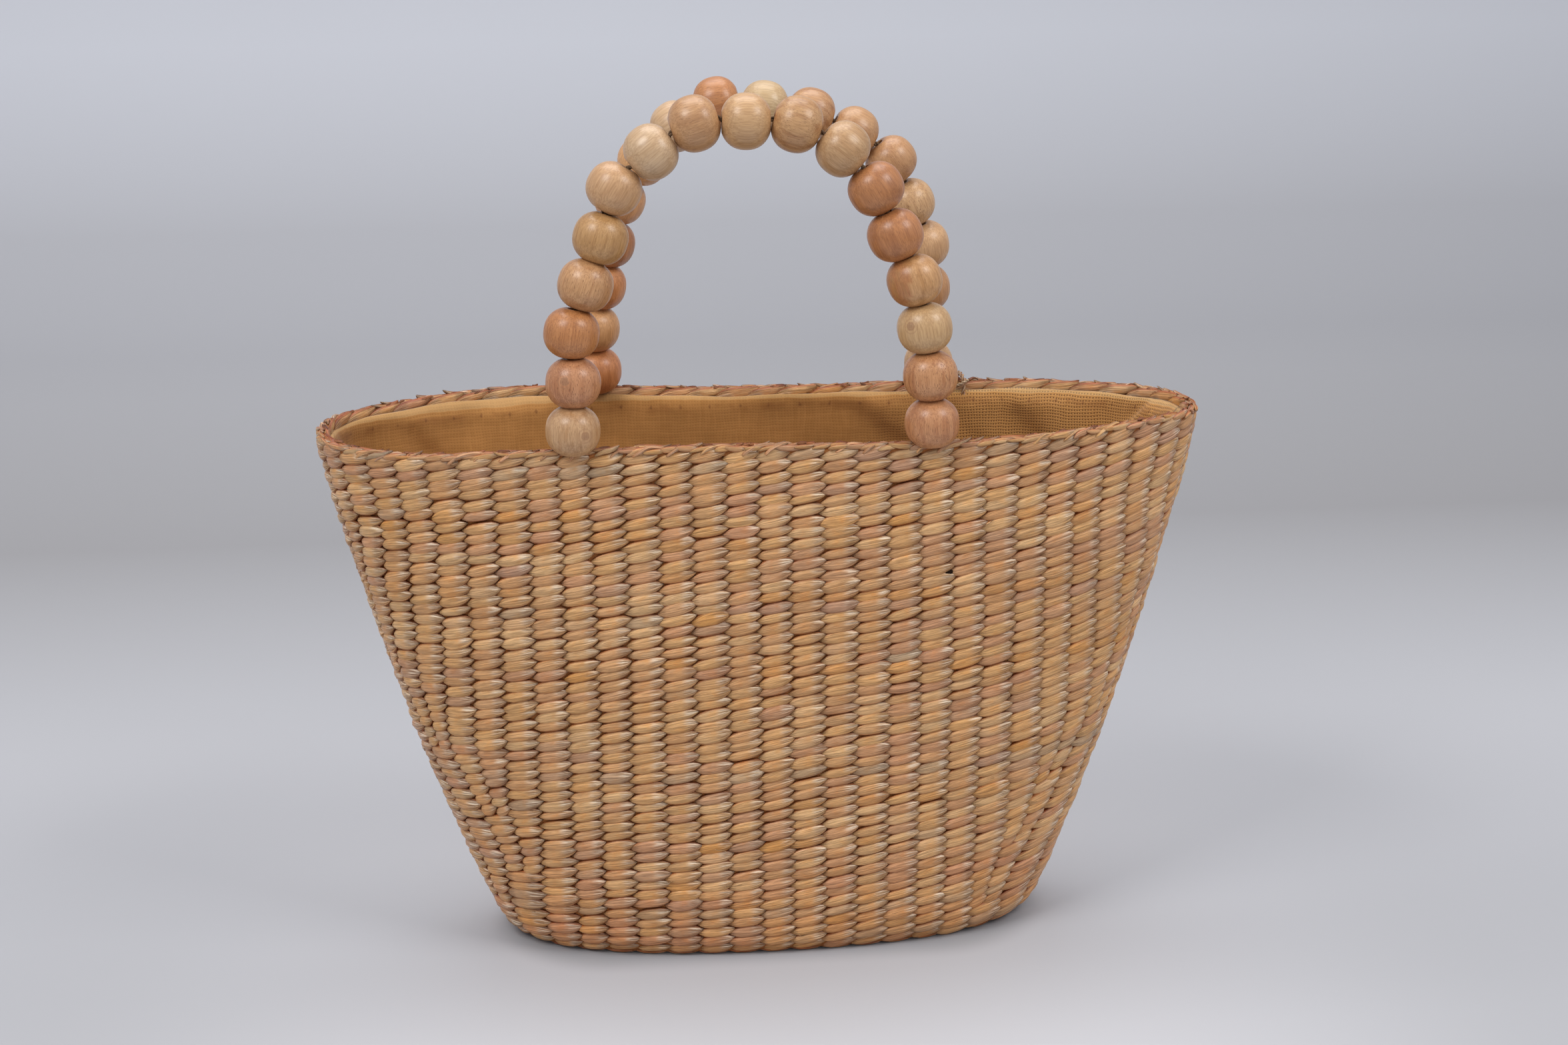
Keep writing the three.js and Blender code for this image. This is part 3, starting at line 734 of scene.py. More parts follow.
def build_underside(material):
    random = seeded(71)
    parts = []
    share = tip_shares(SMALL_STATIONS)
    away = np.abs(share)[None, :]
    for ring in range(int(BASE_HALF_DEPTH / UNDER_PITCH)):
        inset = UNDER_INSET + ring * UNDER_PITCH
        around = base_point(np.linspace(0, 4, 400), np.full(400, inset))
        length = np.linalg.norm(np.diff(around, axis=0), axis=1).sum()
        count = max(4, 2 * round(length / UNDER_WIDTH / 2))
        turn = (np.arange(count) + 0.5 * (ring % 2)) * 4 / count
        station = turn[:, None] + 4 / count * 0.6 * share[None, :]
        spine = base_point(station, np.full_like(station, inset) + 0.8 * share[None, :])
        spine[..., 2] = UNDER_LEVEL + 0.8 * away**3
        body = np.sqrt(1 - away**2.8) * np.ones((count, 1))
        along = unit(base_point(station + 0.01, inset) - base_point(station - 0.01, inset))
        outward = np.broadcast_to([0.0, 0.0, -1.0], along.shape)
        parts.append(leaf_part(
            spine, np.cross(outward, along), outward, UNDER_HALF_HEIGHT * body, UNDER_FRONT * body,
            UNDER_BACK * body, 8.5 * share * np.ones((count, 1)), straw_tones(random, count) * 0.9,
            random.uniform(0, 60, count)))
    finish_piece(parts_object("weave_underside", parts), material, "basket_wall")


# Rim: leaves that overlap along its inner side, and a thin twisted edging along its outer side

RIM_MIDDLE = 257.2
RIM_CORE_AROUND = 320
RIM_CORE_SIDES = 8
RIM_CORE_INSET = 2.9
RIM_CORE_SUNK = 0.7
RIM_CORE_HALF_WIDTH = 2.0
RIM_CORE_HALF_HEIGHT = 2.2
LOOP_POINTS = 14
NO_LOOP_CHANCE = 0.35
ROSE_CHANCE = 0.35
EDGING_ROSE = (0.56, 0.31, 0.165)
TUFT_TONE = (0.30, 0.13, 0.055)

# Rows of the edging: height, inset, half height and thickness
EDGING = [(258.5, 0.9, 1.45, 1.3), (258.9, 2.5, 1.1, 1.1)]


def rim_frame(turn, inset, z):
    """Point on the rim, direction along it, upward and outward."""
    top = np.ones_like(turn)
    point, along, _, outward = skin_frame(turn, top)
    outward = unit(outward * [1, 1, 0])
    point = point - outward * np.asarray(inset)[..., None]
    point[..., 2] += z - BODY_HEIGHT
    upward = np.broadcast_to([0.0, 0.0, 1.0], point.shape)
    return point, along, upward, outward


def rim_leaves(turn, length, slope, inset, z, high, thick, facing, tones, random, lean, stations=9):
    """Leaves along the rim. slope is their rise from one tip to the other, facing -1 inward, 1 outward."""
    count = len(turn)
    length, slope, inset = length[:, None], slope[:, None], inset[:, None]
    z, high, thick = z[:, None], high[:, None], thick[:, None]
    share = tip_shares(stations)
    reach = length / 2 * share
    rise = slope * (share - 0.7 * np.sin(math.pi * share) / math.pi) / 2
    spine, _, upward, outward = rim_frame(
        turn[:, None] + reach / QUARTER_LENGTHS[-1], inset + lean * share, z + rise)
    body = np.sqrt(1 - np.abs(share) ** 2.6) * np.ones((count, 1))
    ridges = random.normal(0, 0.06, (count, 1, len(leaf_section()[0])))
    return leaf_part(
        spine, upward * facing, outward * facing, high * body, thick * body, 0.8 * thick * body, reach,
        tones, random.uniform(0, 60, count), ridges)


def build_rim_inner(random):
    """One leaf a column, its end lying over the start of the next and showing above it."""
    count = COLUMNS
    turn = (np.arange(count) + 0.5 + random.normal(0, 0.06, count)) * 4 / count
    tones = straw_tones(random, count)
    tones[::3] = (tones[::3] + np.array(STRAW["cream"])) / 2
    return rim_leaves(
        turn, random.uniform(19, 23, count), random.uniform(-4.6, -3.2, count),
        random.uniform(4.2, 4.6, count), np.full(count, RIM_MIDDLE - 0.1) + random.normal(0, 0.25, count),
        random.uniform(2.4, 3.0, count), random.uniform(1.6, 2.0, count), -1, tones, random, lean=0.7)


def build_rim_edging(random):
    """Thin strands that lie over the top course, each twisted over the next."""
    parts = []
    for z, inset, high, thick in EDGING:
        count = 2 * COLUMNS
        turn = (np.arange(count) + random.normal(0, 0.12, count)) * 4 / count
        tones = straw_tones(random, count) * 0.97
        rosy = random.random(count) < ROSE_CHANCE
        tones[rosy] = (tones[rosy] + np.array(EDGING_ROSE)) / 2
        parts.append(rim_leaves(
            turn, random.uniform(9, 16, count), random.normal(1.4, 2.0, count),
            inset + random.normal(0, 0.25, count), z + random.normal(0, 0.22, count),
            high * random.uniform(0.6, 1.25, count), thick * random.uniform(0.75, 1.25, count), 1, tones,
            random, lean=0.8, stations=8))
    return parts


def build_tufts(random):
    """Short brown split ends, bent over the places where the inner leaves meet."""
    turn = (np.repeat(np.arange(COLUMNS), 3) + random.normal(0.05, 0.13, 3 * COLUMNS)) * 4 / COLUMNS
    count = len(turn)
    tones = np.array(TUFT_TONE) * random.uniform(0.7, 1.7, (count, 1))
    return rim_leaves(
        turn, random.uniform(3, 7.5, count), random.normal(0, 1.6, count), random.uniform(2.4, 4.4, count),
        RIM_TOP - 0.9 + random.normal(0, 0.35, count), random.uniform(0.5, 1.1, count),
        random.uniform(0.5, 0.9, count), -1, tones, random, lean=0.9, stations=6)


def build_loops(random):
    """Thin strands that arch over the top course from one column to the next."""
    tubes, tones = [], []
    for column in range(COLUMNS):
        if random.random() < NO_LOOP_CHANCE:
            continue
        start = column + random.normal(0, 0.2)
        turns = (start + np.array([0, 0.18, 0.5, 0.85, 1.05]) * random.uniform(0.7, 1.1)) * 4 / COLUMNS
        insets = np.array([0.2, -0.2, 0.8, 2.2, 3.4]) + random.normal(0, 0.2, 5)
        heights = np.array([255.6, 257.6, 259.2, 259.5, 258.6]) + random.normal(0, 0.3, 5)
        route, _ = smooth_route(rim_frame(turns, insets, heights)[0], LOOP_POINTS)
        radius = random.uniform(0.65, 1.15) * np.linspace(0.75, 1.0, LOOP_POINTS)
        tubes.append((route, radius, 6))
        tones.append(np.array(EDGING_ROSE) * random.uniform(0.75, 1.15) if random.random() < 0.6
                     else straw_tones(random, 1)[0])
    return tubes_object("rim_loops", tubes, tones)


def build_rim(material, dark_material):
    random = seeded(83)
    parts = [build_rim_inner(random), build_tufts(random)] + build_rim_edging(random)
    finish_piece(parts_object("rim_leaves", parts), material, "rim_braid")
    finish_piece(build_loops(random), material, "rim_braid")
    # The rim's core, in the dark core material: partly its own colour, partly painted shade between the
    # leaves
    turn = np.arange(RIM_CORE_AROUND) * 4 / RIM_CORE_AROUND
    rings = []
    for i in range(RIM_CORE_SIDES):
        angle = i / RIM_CORE_SIDES * 2 * math.pi
        inset = np.full(RIM_CORE_AROUND, RIM_CORE_INSET + RIM_CORE_HALF_WIDTH * math.cos(angle))
        z = RIM_MIDDLE - RIM_CORE_SUNK + RIM_CORE_HALF_HEIGHT * math.sin(angle)
        rings.append(rim_frame(turn, inset, z)[0])
    quads = grid_quads(RIM_CORE_SIDES, RIM_CORE_AROUND, closed_rows=True, closed_columns=True)
    core = mesh_object("rim_core", np.concatenate(rings), quads[:, ::-1])
    finish_piece(core, dark_material, "rim_braid")


# Tubes: strings, threads and loose fibres

CURVE_STEPS = 24
TUBE_SEED_STEP = 1.37
PLY_OUT = 0.24
PLY_RADIUS = 0.27
PLY_SIDES = 7


def smooth_route(points, count):
    """Points spaced evenly along a smooth curve through the given ones."""
    points = np.asarray(points, float)
    ends = np.concatenate([2 * points[:1] - points[1:2], points, 2 * points[-1:] - points[-2:-1]])
    curve = []
    for i in range(len(points) - 1):
        t = np.linspace(0, 1, CURVE_STEPS, endpoint=False)[:, None]
        a, b, c, d = ends[i:i + 4]
        curve.append(0.5 * (2 * b + (c - a) * t + (2 * a - 5 * b + 4 * c - d) * t**2
                            + (3 * b - a - 3 * c + d) * t**3))
    curve = np.concatenate(curve + [points[-1:]])
    lengths = np.concatenate([[0], np.cumsum(np.linalg.norm(np.diff(curve, axis=0), axis=1))])
    places = np.linspace(0, lengths[-1], count)
    return np.stack([np.interp(places, lengths, curve[:, k]) for k in range(3)], 1), places


def route_frames(points):
    """Directions along a route and two sides that turn with it as little as they can."""
    along = unit(np.gradient(points, axis=0))
    side = np.cross(along[0], [0.3, 0.9, 0.2])
    sides = []
    for direction in along:
        side = side - direction * np.dot(side, direction)
        side = side / np.linalg.norm(side)
        sides.append(side)
    sides = np.array(sides)
    return along, sides, np.cross(along, sides)


def tube_part(route, radius, sides_count, seed, tone):
    """A closed tube as a part. radius: one for each point of the route."""
    _, side, other = route_frames(route)
    angle = np.arange(sides_count) / sides_count * 2 * math.pi
    ring = side[:, None] * np.cos(angle)[:, None] + other[:, None] * np.sin(angle)[:, None]
    rings = route[:, None] + ring * np.asarray(radius)[:, None, None]
    points, quads, triangles = capped_rings(rings, route[[0, -1]])
    along = np.concatenate([[0], np.cumsum(np.linalg.norm(np.diff(route, axis=0), axis=1))])
    across = np.linspace(-0.5, 0.5, sides_count)
    grid = np.stack(np.meshgrid(along, across, indexing="ij"), -1).reshape(-1, 2)
    grid = np.concatenate([grid, [[along[0], 0], [along[-1], 0]]])
    return {
        "points": points,
        "quads": quads,
        "triangles": triangles,
        "fibre": np.concatenate([grid, np.full((len(grid), 1), seed)], 1),
        "tone": np.tile(tone, (len(grid), 1)),
    }


def tubes_object(name, tubes, tones=None):
    """One object out of several tubes, each a route, its radii and its number of sides."""
    tones = tones or [STRAW["tan"]] * len(tubes)
    parts = [tube_part(*tube, number * TUBE_SEED_STEP, tones[number]) for number, tube in enumerate(tubes)]
    return parts_object(name, parts)


def twisted_plies(route, places, diameter, plies, lay):
    """Plies that wind round a route. lay: length of one turn."""
    _, side, other = route_frames(route)
    tubes = []
    for ply in range(plies):
        angle = places / lay * 2 * math.pi + ply / plies * 2 * math.pi
        swing = side * np.cos(angle)[:, None] + other * np.sin(angle)[:, None]
        radius = np.full(len(route), diameter * PLY_RADIUS)
        tubes.append((route + swing * diameter * PLY_OUT, radius, PLY_SIDES))
    return tubes


# Beads

BEAD_SEGMENTS = 40
BEAD_ROWS = 22
BEAD_FULLNESS = 2.25
WOOD = {
    "pale": ((0.55, 0.385, 0.235), (0.45, 0.28, 0.14)),
    "cream": ((0.515, 0.325, 0.175), (0.40, 0.22, 0.10)),
    "gold": ((0.50, 0.28, 0.126), (0.385, 0.195, 0.074)),
    "tan": ((0.49, 0.277, 0.138), (0.36, 0.172, 0.074)),
    "pink": ((0.48, 0.238, 0.113), (0.33, 0.13, 0.051)),
    "orange": ((0.46, 0.205, 0.081), (0.32, 0.119, 0.038)),
    "brown": ((0.40, 0.176, 0.068), (0.25, 0.093, 0.032)),
}

# Each bead from the left foot to the right one: wood, streaks, pores
BEADS = {
    "front": [
        ("cream", 0.9, 0.5), ("pink", 0.6, 1.0), ("orange", 0.6, 0.8), ("tan", 0.8, 0.7),
        ("gold", 0.7, 0.5), ("cream", 0.4, 0.1), ("pale", 0.4, 0.1), ("tan", 0.5, 0.5),
        ("cream", 0.4, 0.2), ("tan", 0.9, 0.7), ("cream", 0.6, 0.3), ("brown", 0.5, 0.5),
        ("brown", 0.5, 0.4), ("gold", 0.8, 0.4), ("cream", 0.4, 0.2), ("pink", 0.8, 1.0),
        ("pink", 0.6, 0.8),
    ],
    "back": [
        ("orange", 0.5, 0.3), ("gold", 0.4, 0.2), ("orange", 0.6, 0.4), ("orange", 0.5, 0.4),
        ("tan", 0.7, 0.4), ("gold", 0.4, 0.3), ("pale", 0.5, 0.1), ("orange", 0.6, 0.5),
        ("pale", 0.4, 0.1), ("tan", 1.0, 0.2), ("tan", 0.5, 0.3), ("tan", 0.6, 0.5),
        ("cream", 0.6, 0.9), ("cream", 0.3, 0.2), ("gold", 0.4, 0.2), ("tan", 0.5, 0.4),
        ("cream", 0.5, 0.4),
    ],
}

# Knots: bead, and how far to the right and up from the bead's front in degrees
KNOTS = {"front_bead_01": (26, -1), "front_bead_15": (-40, 12), "front_bead_02": (-18, 14)}
NO_KNOT = 50.0

# Beads that are lighter than their wood, and by how much
LIGHTER = {"back_bead_01": 1.12, "back_bead_02": 1.17, "back_bead_03": 1.19, "back_bead_05": 1.18,
           "back_bead_06": 1.18, "back_bead_13": 1.05, "back_bead_14": 1.05, "back_bead_17": 1.1}

# Beads of two woods: bead, darker wood, and where it ends from the bead's middle in millimetres
TWO_WOODS = {"front_bead_14": ("brown", -3.5), "back_bead_10": ("gold", -2)}


def bead_name(handle, number):
    return f"{handle}_bead_{number + 1:02d}"


def bead_place(name):
    """Centre and axis of a bead, from the edges of its bore in the model."""
    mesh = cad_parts[name].data
    points = np.zeros(len(mesh.vertices) * 3)
    mesh.vertices.foreach_get("co", points)
    points = points.reshape(-1, 3) / MM
    centre = (points.min(0) + points.max(0)) / 2
    far = np.linalg.norm(points - centre, axis=1)
    bore = points[far < far.min() + 0.12 * (far.max() - far.min())]
    centre = bore.mean(0)
    axis = np.linalg.svd(bore - centre)[2][0]
    return centre, axis


def bead_places(handle, count):
    """Centre and axis of each bead, the axes turned along the handle."""
    places = [bead_place(bead_name(handle, number)) for number in range(count)]
    for number, (centre, axis) in enumerate(places):
        before = places[max(number - 1, 0)][0]
        after = places[min(number + 1, count - 1)][0]
        if np.dot(axis, after - before) < 0:
            places[number] = (centre, -axis)
    return places


def bead_profile(length):
    """Radius and height of the bead's outline from one end of its bore to the other."""
    half = length / 2
    radius = BEAD_DIAMETER / 2
    flat = BEAD_FLAT / 2
    power = BEAD_FULLNESS
    axial = half / (1 - (flat / radius) ** power) ** (1 / power)
    heights = half * np.sin(np.linspace(0.5, -0.5, BEAD_ROWS) * math.pi)
    outline = [(radius * (1 - (abs(z) / axial) ** power) ** (1 / power), z) for z in heights]
    bore = BEAD_BORE / 2
    top = [(bore, half - 3), (bore, half - 0.7), (bore + 0.35, half - 0.15), (bore + 0.8, half)]
    bottom = [(r, -z) for r, z in reversed(top)]
    return np.array(top + outline + bottom)


def bead_length(beads, number):
    """A bead's own length: it reaches to the beads beside it, in millimetres."""
    lengths = []
    for other in (number - 1, number + 1):
        if 0 <= other < len(beads):
            gap = np.linalg.norm(beads[other][0] - beads[number][0])
            bend = math.acos(min(1, abs(np.dot(beads[other][1], beads[number][1]))))
            lengths.append(gap - BEAD_FLAT * math.sin(bend / 2) + 0.2)
    return max(BEAD_LENGTH, sum(lengths) / len(lengths))


def bead_grid(profile, random):
    """The bead's points round its own axis, a little uneven."""
    angle = np.arange(BEAD_SEGMENTS) / BEAD_SEGMENTS * 2 * math.pi
    start = random.uniform(0, 6, 2)
    uneven = 1 + 0.006 * np.sin(2 * angle + start[0]) + 0.004 * np.sin(3 * angle + start[1])
    radius, height = profile[:, :1], profile[:, 1:]
    x, y = radius * np.cos(angle) * uneven, radius * np.sin(angle) * uneven
    return np.stack([x, y, height * np.ones(BEAD_SEGMENTS)], -1).reshape(-1, 3)


def knot_distance(name, points, centre):
    """How far each point lies from the bead's knot, in millimetres."""
    if name not in KNOTS:
        return np.full(len(points), NO_KNOT)
    right, up = (math.radians(angle) for angle in KNOTS[name])
    way = np.array([math.sin(right) * math.cos(up), -math.cos(right) * math.cos(up), math.sin(up)])
    return np.linalg.norm(points - (centre + BEAD_DIAMETER / 2 * way), axis=1)


def grain_points(local, random):
    """The bead's points in the grain of its wood: turned round its axis and moved at random."""
    offset = random.uniform(-200, 200, 3)
    spin = random.uniform(0, 2 * math.pi)
    x, y, z = local.T
    x, y = x * math.cos(spin) - y * math.sin(spin), x * math.sin(spin) + y * math.cos(spin)
    return np.stack([x, y, z], -1) + offset


def build_beads(material):
    random = seeded(97)
    places = {handle: bead_places(handle, len(looks)) for handle, looks in BEADS.items()}
    for handle, looks in BEADS.items():
        for number, (wood, streaks, pores) in enumerate(looks):
            name = bead_name(handle, number)
            centre, axis = places[handle][number]
            profile = bead_profile(bead_length(places[handle], number))
            side = unit(np.cross(axis, [0.1, 1, 0.05]))
            local = bead_grid(profile, random)
            points = centre + local @ np.array([side, np.cross(axis, side), axis])
            quads = grid_quads(len(profile), BEAD_SEGMENTS, closed_rows=True, closed_columns=True)
            change = random.normal(1, 0.018, 3) * random.normal(1, 0.03) * LIGHTER.get(name, 1)
            light, dark = ([*(np.array(colour) * change), 1] for colour in WOOD[wood])
            tone = np.tile(light, (len(points), 1))
            if name in TWO_WOODS:
                second, edge = TWO_WOODS[name]
                tone[points[:, 0] < centre[0] + edge, :3] = WOOD[second][0] * change
            knot = knot_distance(name, points, centre)
            attributes = {
                "grain": grain_points(local, random),
                "tone": tone,
                "streak_tone": np.tile(dark, (len(points), 1)),
                "figure": np.stack([np.full(len(points), streaks), np.full(len(points), pores), knot], -1),
            }
            obj = mesh_object(name + "_wood", points, quads, attributes=attributes)
            finish_piece(obj, material, name)
    return places


def string_end(place, way):
    """Where a string ends in the rim, beyond a foot bead. way: -1 before it, 1 after it."""
    centre, axis = place
    return centre + way * axis * (centre[2] - STRING_LOW) / max(abs(axis[2]), 0.5)


def build_strings(places, material):
    for handle, beads in places.items():
        route = [string_end(beads[0], -1)]
        for centre, axis in beads:
            route += [centre - axis * BEAD_LENGTH * 0.4, centre + axis * BEAD_LENGTH * 0.4]
        route.append(string_end(beads[-1], 1))
        route, along = smooth_route(route, STRING_POINTS)
        plies = twisted_plies(route, along, STRING_DIAMETER, 2, STRING_LAY)
        finish_piece(tubes_object(handle + "_string_plies", plies), material, handle + "_string")


# Tie beside the back handle's right foot

TIE_DIAMETER = 2.4
TIE_LAY = 7
TIE_POINTS = 60
THREAD_DIAMETER = 1.6
THREAD_LAY = 4
THREAD_POINTS = 50
TIE_END_POINTS = 12
TIE_END_TONE = (0.17, 0.055, 0.02)


def build_tie(places, material):
    """A twisted strand bent over the rim, a thread that leads to the foot bead, and its brown end."""
    box_low, box_high = (np.array(corner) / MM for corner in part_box("rim_tie"))
    x = (box_low[0] + box_high[0]) / 2
    half = TIE_DIAMETER / 2
    outside, inside, top = box_high[1] - half, box_low[1] + half, box_high[2] - half
    loop = [
        (x - 1, outside, box_low[2] + 0.5), (x - 0.4, outside + 0.4, top - 4), (x, outside - 2, top - 0.4),
        (x + 0.5, (outside + inside) / 2, top + 0.2), (x + 1, inside + 1.6, top - 0.6),
        (x + 1.4, inside, top - 4), (x + 1.2, inside + 0.6, box_low[2] + 3),
    ]
    route, along = smooth_route(loop, TIE_POINTS)
    tubes = twisted_plies(route, along, TIE_DIAMETER, 2, TIE_LAY)
    foot = places["back"][-1][0]
    thread = [(foot[0] + 3, foot[1] - 4, RIM_TOP - 1), (foot[0] + 9, inside + 0.4, RIM_TOP - 3.5),
              (x - 1, inside - 0.4, RIM_TOP - 1.5), (x + 4, inside - 0.6, RIM_TOP + 0.8)]
    route, along = smooth_route(thread, THREAD_POINTS)
    tubes += twisted_plies(route, along, THREAD_DIAMETER, 2, THREAD_LAY)
    end = [(x + 4, inside - 0.6, RIM_TOP + 0.8), (x + 6.5, inside + 0.3, RIM_TOP + 1.6),
           (x + 9, inside + 1, RIM_TOP + 0.6)]
    route, _ = smooth_route(end, TIE_END_POINTS)
    tubes.append((route, np.linspace(0.9, 0.3, TIE_END_POINTS), PLY_SIDES))
    tones = [STRAW["pink"], STRAW["tan"], STRAW["cream"], STRAW["cream"], TIE_END_TONE]
    finish_piece(tubes_object("tie_threads", tubes, tones), material, "rim_tie")


# Lining

LINING_AROUND = 480
LINING_TURNS = np.arange(LINING_AROUND) * 4 / LINING_AROUND
LINING_LEVELS = np.concatenate([
    np.linspace(0.026, 0.15, 6), np.linspace(0.2, 0.9, 16), np.linspace(0.92, 1, 10),
])
LINING_FLOOR_SHARES = [0.93, 0.7, 0.4, 0.12]
HEM_FROM = 0.972
HEM_RAMP = 0.006
HEM_OUT = 0.5
HEM_IN = 0.6
HEM_LIFT = 2.0
LIFT_FROM = 0.95
SLANT_FADE = 42
RIPPLES = 14

# Slanting folds: turn at the rim, turn a tenth of the height lower, width in millimetres, inward
SLANTS = [
    (1.11, 1.225, 2.0, 6.0),
    (1.46, 1.34, 9, 5),
    (1.60, 1.50, 8, 3.5),
    (1.80, 1.66, 10, 5),
    (2.57, 2.62, 9, 4.5),
    (2.76, 2.68, 6, 4),
    (2.2, 2.26, 12, 3),
]


def slant_inset(turn, height):
    """Folds that run aslant: a step inward on the side of the bag's end, fading along the wall."""
    down = (1 - height) / 0.1
    total = np.zeros_like(turn)
    for top, lower, wide, inward in SLANTS:
        line = top + (lower - top) * down
        away = (line - turn) * RIM_HALF_LENGTH
        step = 1 / (1 + np.exp(-np.clip(away / wide * 3, -30, 30)))
        fade = np.exp(-((away / SLANT_FADE) ** 2))
        total += inward * step * fade * np.clip(down / 0.25, 0, 1) * np.clip(1 - down / 7, 0, 1)
    return total


def fold_inset(turn, height):
    """How far the folds push the lining inward, in millimetres."""
    column = np.mod(turn, 4) * COLUMNS_PER_QUARTER
    down = 1 - height
    total = np.zeros_like(column)
    for place, wide, deep, reach in LINING_FOLDS:
        away = np.abs(column - place)
        away = np.minimum(away, COLUMNS - away) / wide
        total += deep * np.exp(-(away**2)) * np.clip(1 - down / reach, 0, 1)
    return FOLD_DEPTH * total * (HEM_FOLD + (1 - HEM_FOLD) * np.minimum(1, down / HEM_REACH))


def lining_ring(height, lift, extra):
    """A ring of the lining's points, with its folds and small ripples. extra: how much further inward."""
    turn = LINING_TURNS
    random = seeded(31)
    level = np.full(LINING_AROUND, height)
    point, _, _, outward = skin_frame(turn, level)
    outward = unit(outward * [1, 1, 0])
    ripple = np.zeros(LINING_AROUND)
    for _ in range(RIPPLES):
        cycles = random.integers(5, 46)
        ripple += np.sin(cycles * turn * math.pi / 2 + random.uniform(-5, 5) * height
                         + random.uniform(0, 7)) * random.uniform(0.04, 0.3)
    ripple = np.abs(ripple) * min(1, (1 - height) / 0.03 + 0.25)
    inset = LINING_INSET + fold_inset(turn, level) + slant_inset(turn, level) + ripple
    point = point - outward * (np.maximum(inset, LINING_INSET) + extra)[:, None]
    wave = 0.5 * np.sin(9 * turn * math.pi / 2 + 1) + 0.4 * np.sin(23 * turn * math.pi / 2)
    point[:, 2] = np.maximum(point[:, 2] + lift * (1 + 0.35 * wave), LINING_FLOOR)
    return point


def open_weave(turn):
    """How open the cloth's weave is: most at the right, where it is stretched."""
    right = np.clip((1.78 - turn) / 0.25, 0, 1) * np.clip((turn - 0.6) / 0.2, 0, 1)
    return 0.22 + 0.78 * right


def build_lining(material):
    """The cloth. Its hem is a second thickness folded over near the top, and it reaches up to the rim."""
    hems = np.clip((LINING_LEVELS - HEM_FROM) / HEM_RAMP, 0, 1)
    lifts = HEM_LIFT * np.clip((LINING_LEVELS - LIFT_FROM) / (1 - LIFT_FROM), 0, 1)
    rows = list(zip(LINING_LEVELS, lifts, hems))
    outer = [lining_ring(height, lift, -HEM_OUT * hem) for height, lift, hem in rows]
    inner = [lining_ring(height, lift, LINING + HEM_IN * hem) for height, lift, hem in rows]
    inner_floor = LINING_FLOOR + LINING
    rings = [at_level(outer[0], share, LINING_FLOOR) for share in LINING_FLOOR_SHARES[::-1]]
    rings += outer + inner[::-1]
    rings += [at_level(inner[0], share, inner_floor) for share in LINING_FLOOR_SHARES]
    from_middle = np.mod(LINING_TURNS + 1, 2) - 1
    cloth = []
    for ring in rings:
        across = from_middle * quarter_length(np.clip(ring[:, 2] / BODY_HEIGHT, 0, 1))
        cloth.append(np.stack([across, ring[:, 2], open_weave(LINING_TURNS)], -1))
    cloth = np.concatenate(cloth + [np.zeros((2, 3))])
    obj = mesh_object("lining_cloth", *capped_rings(rings, [[0, 0, LINING_FLOOR], [0, 0, inner_floor]]),
                      {"cloth": cloth})
    finish_piece(obj, material, "lining")


# Materials

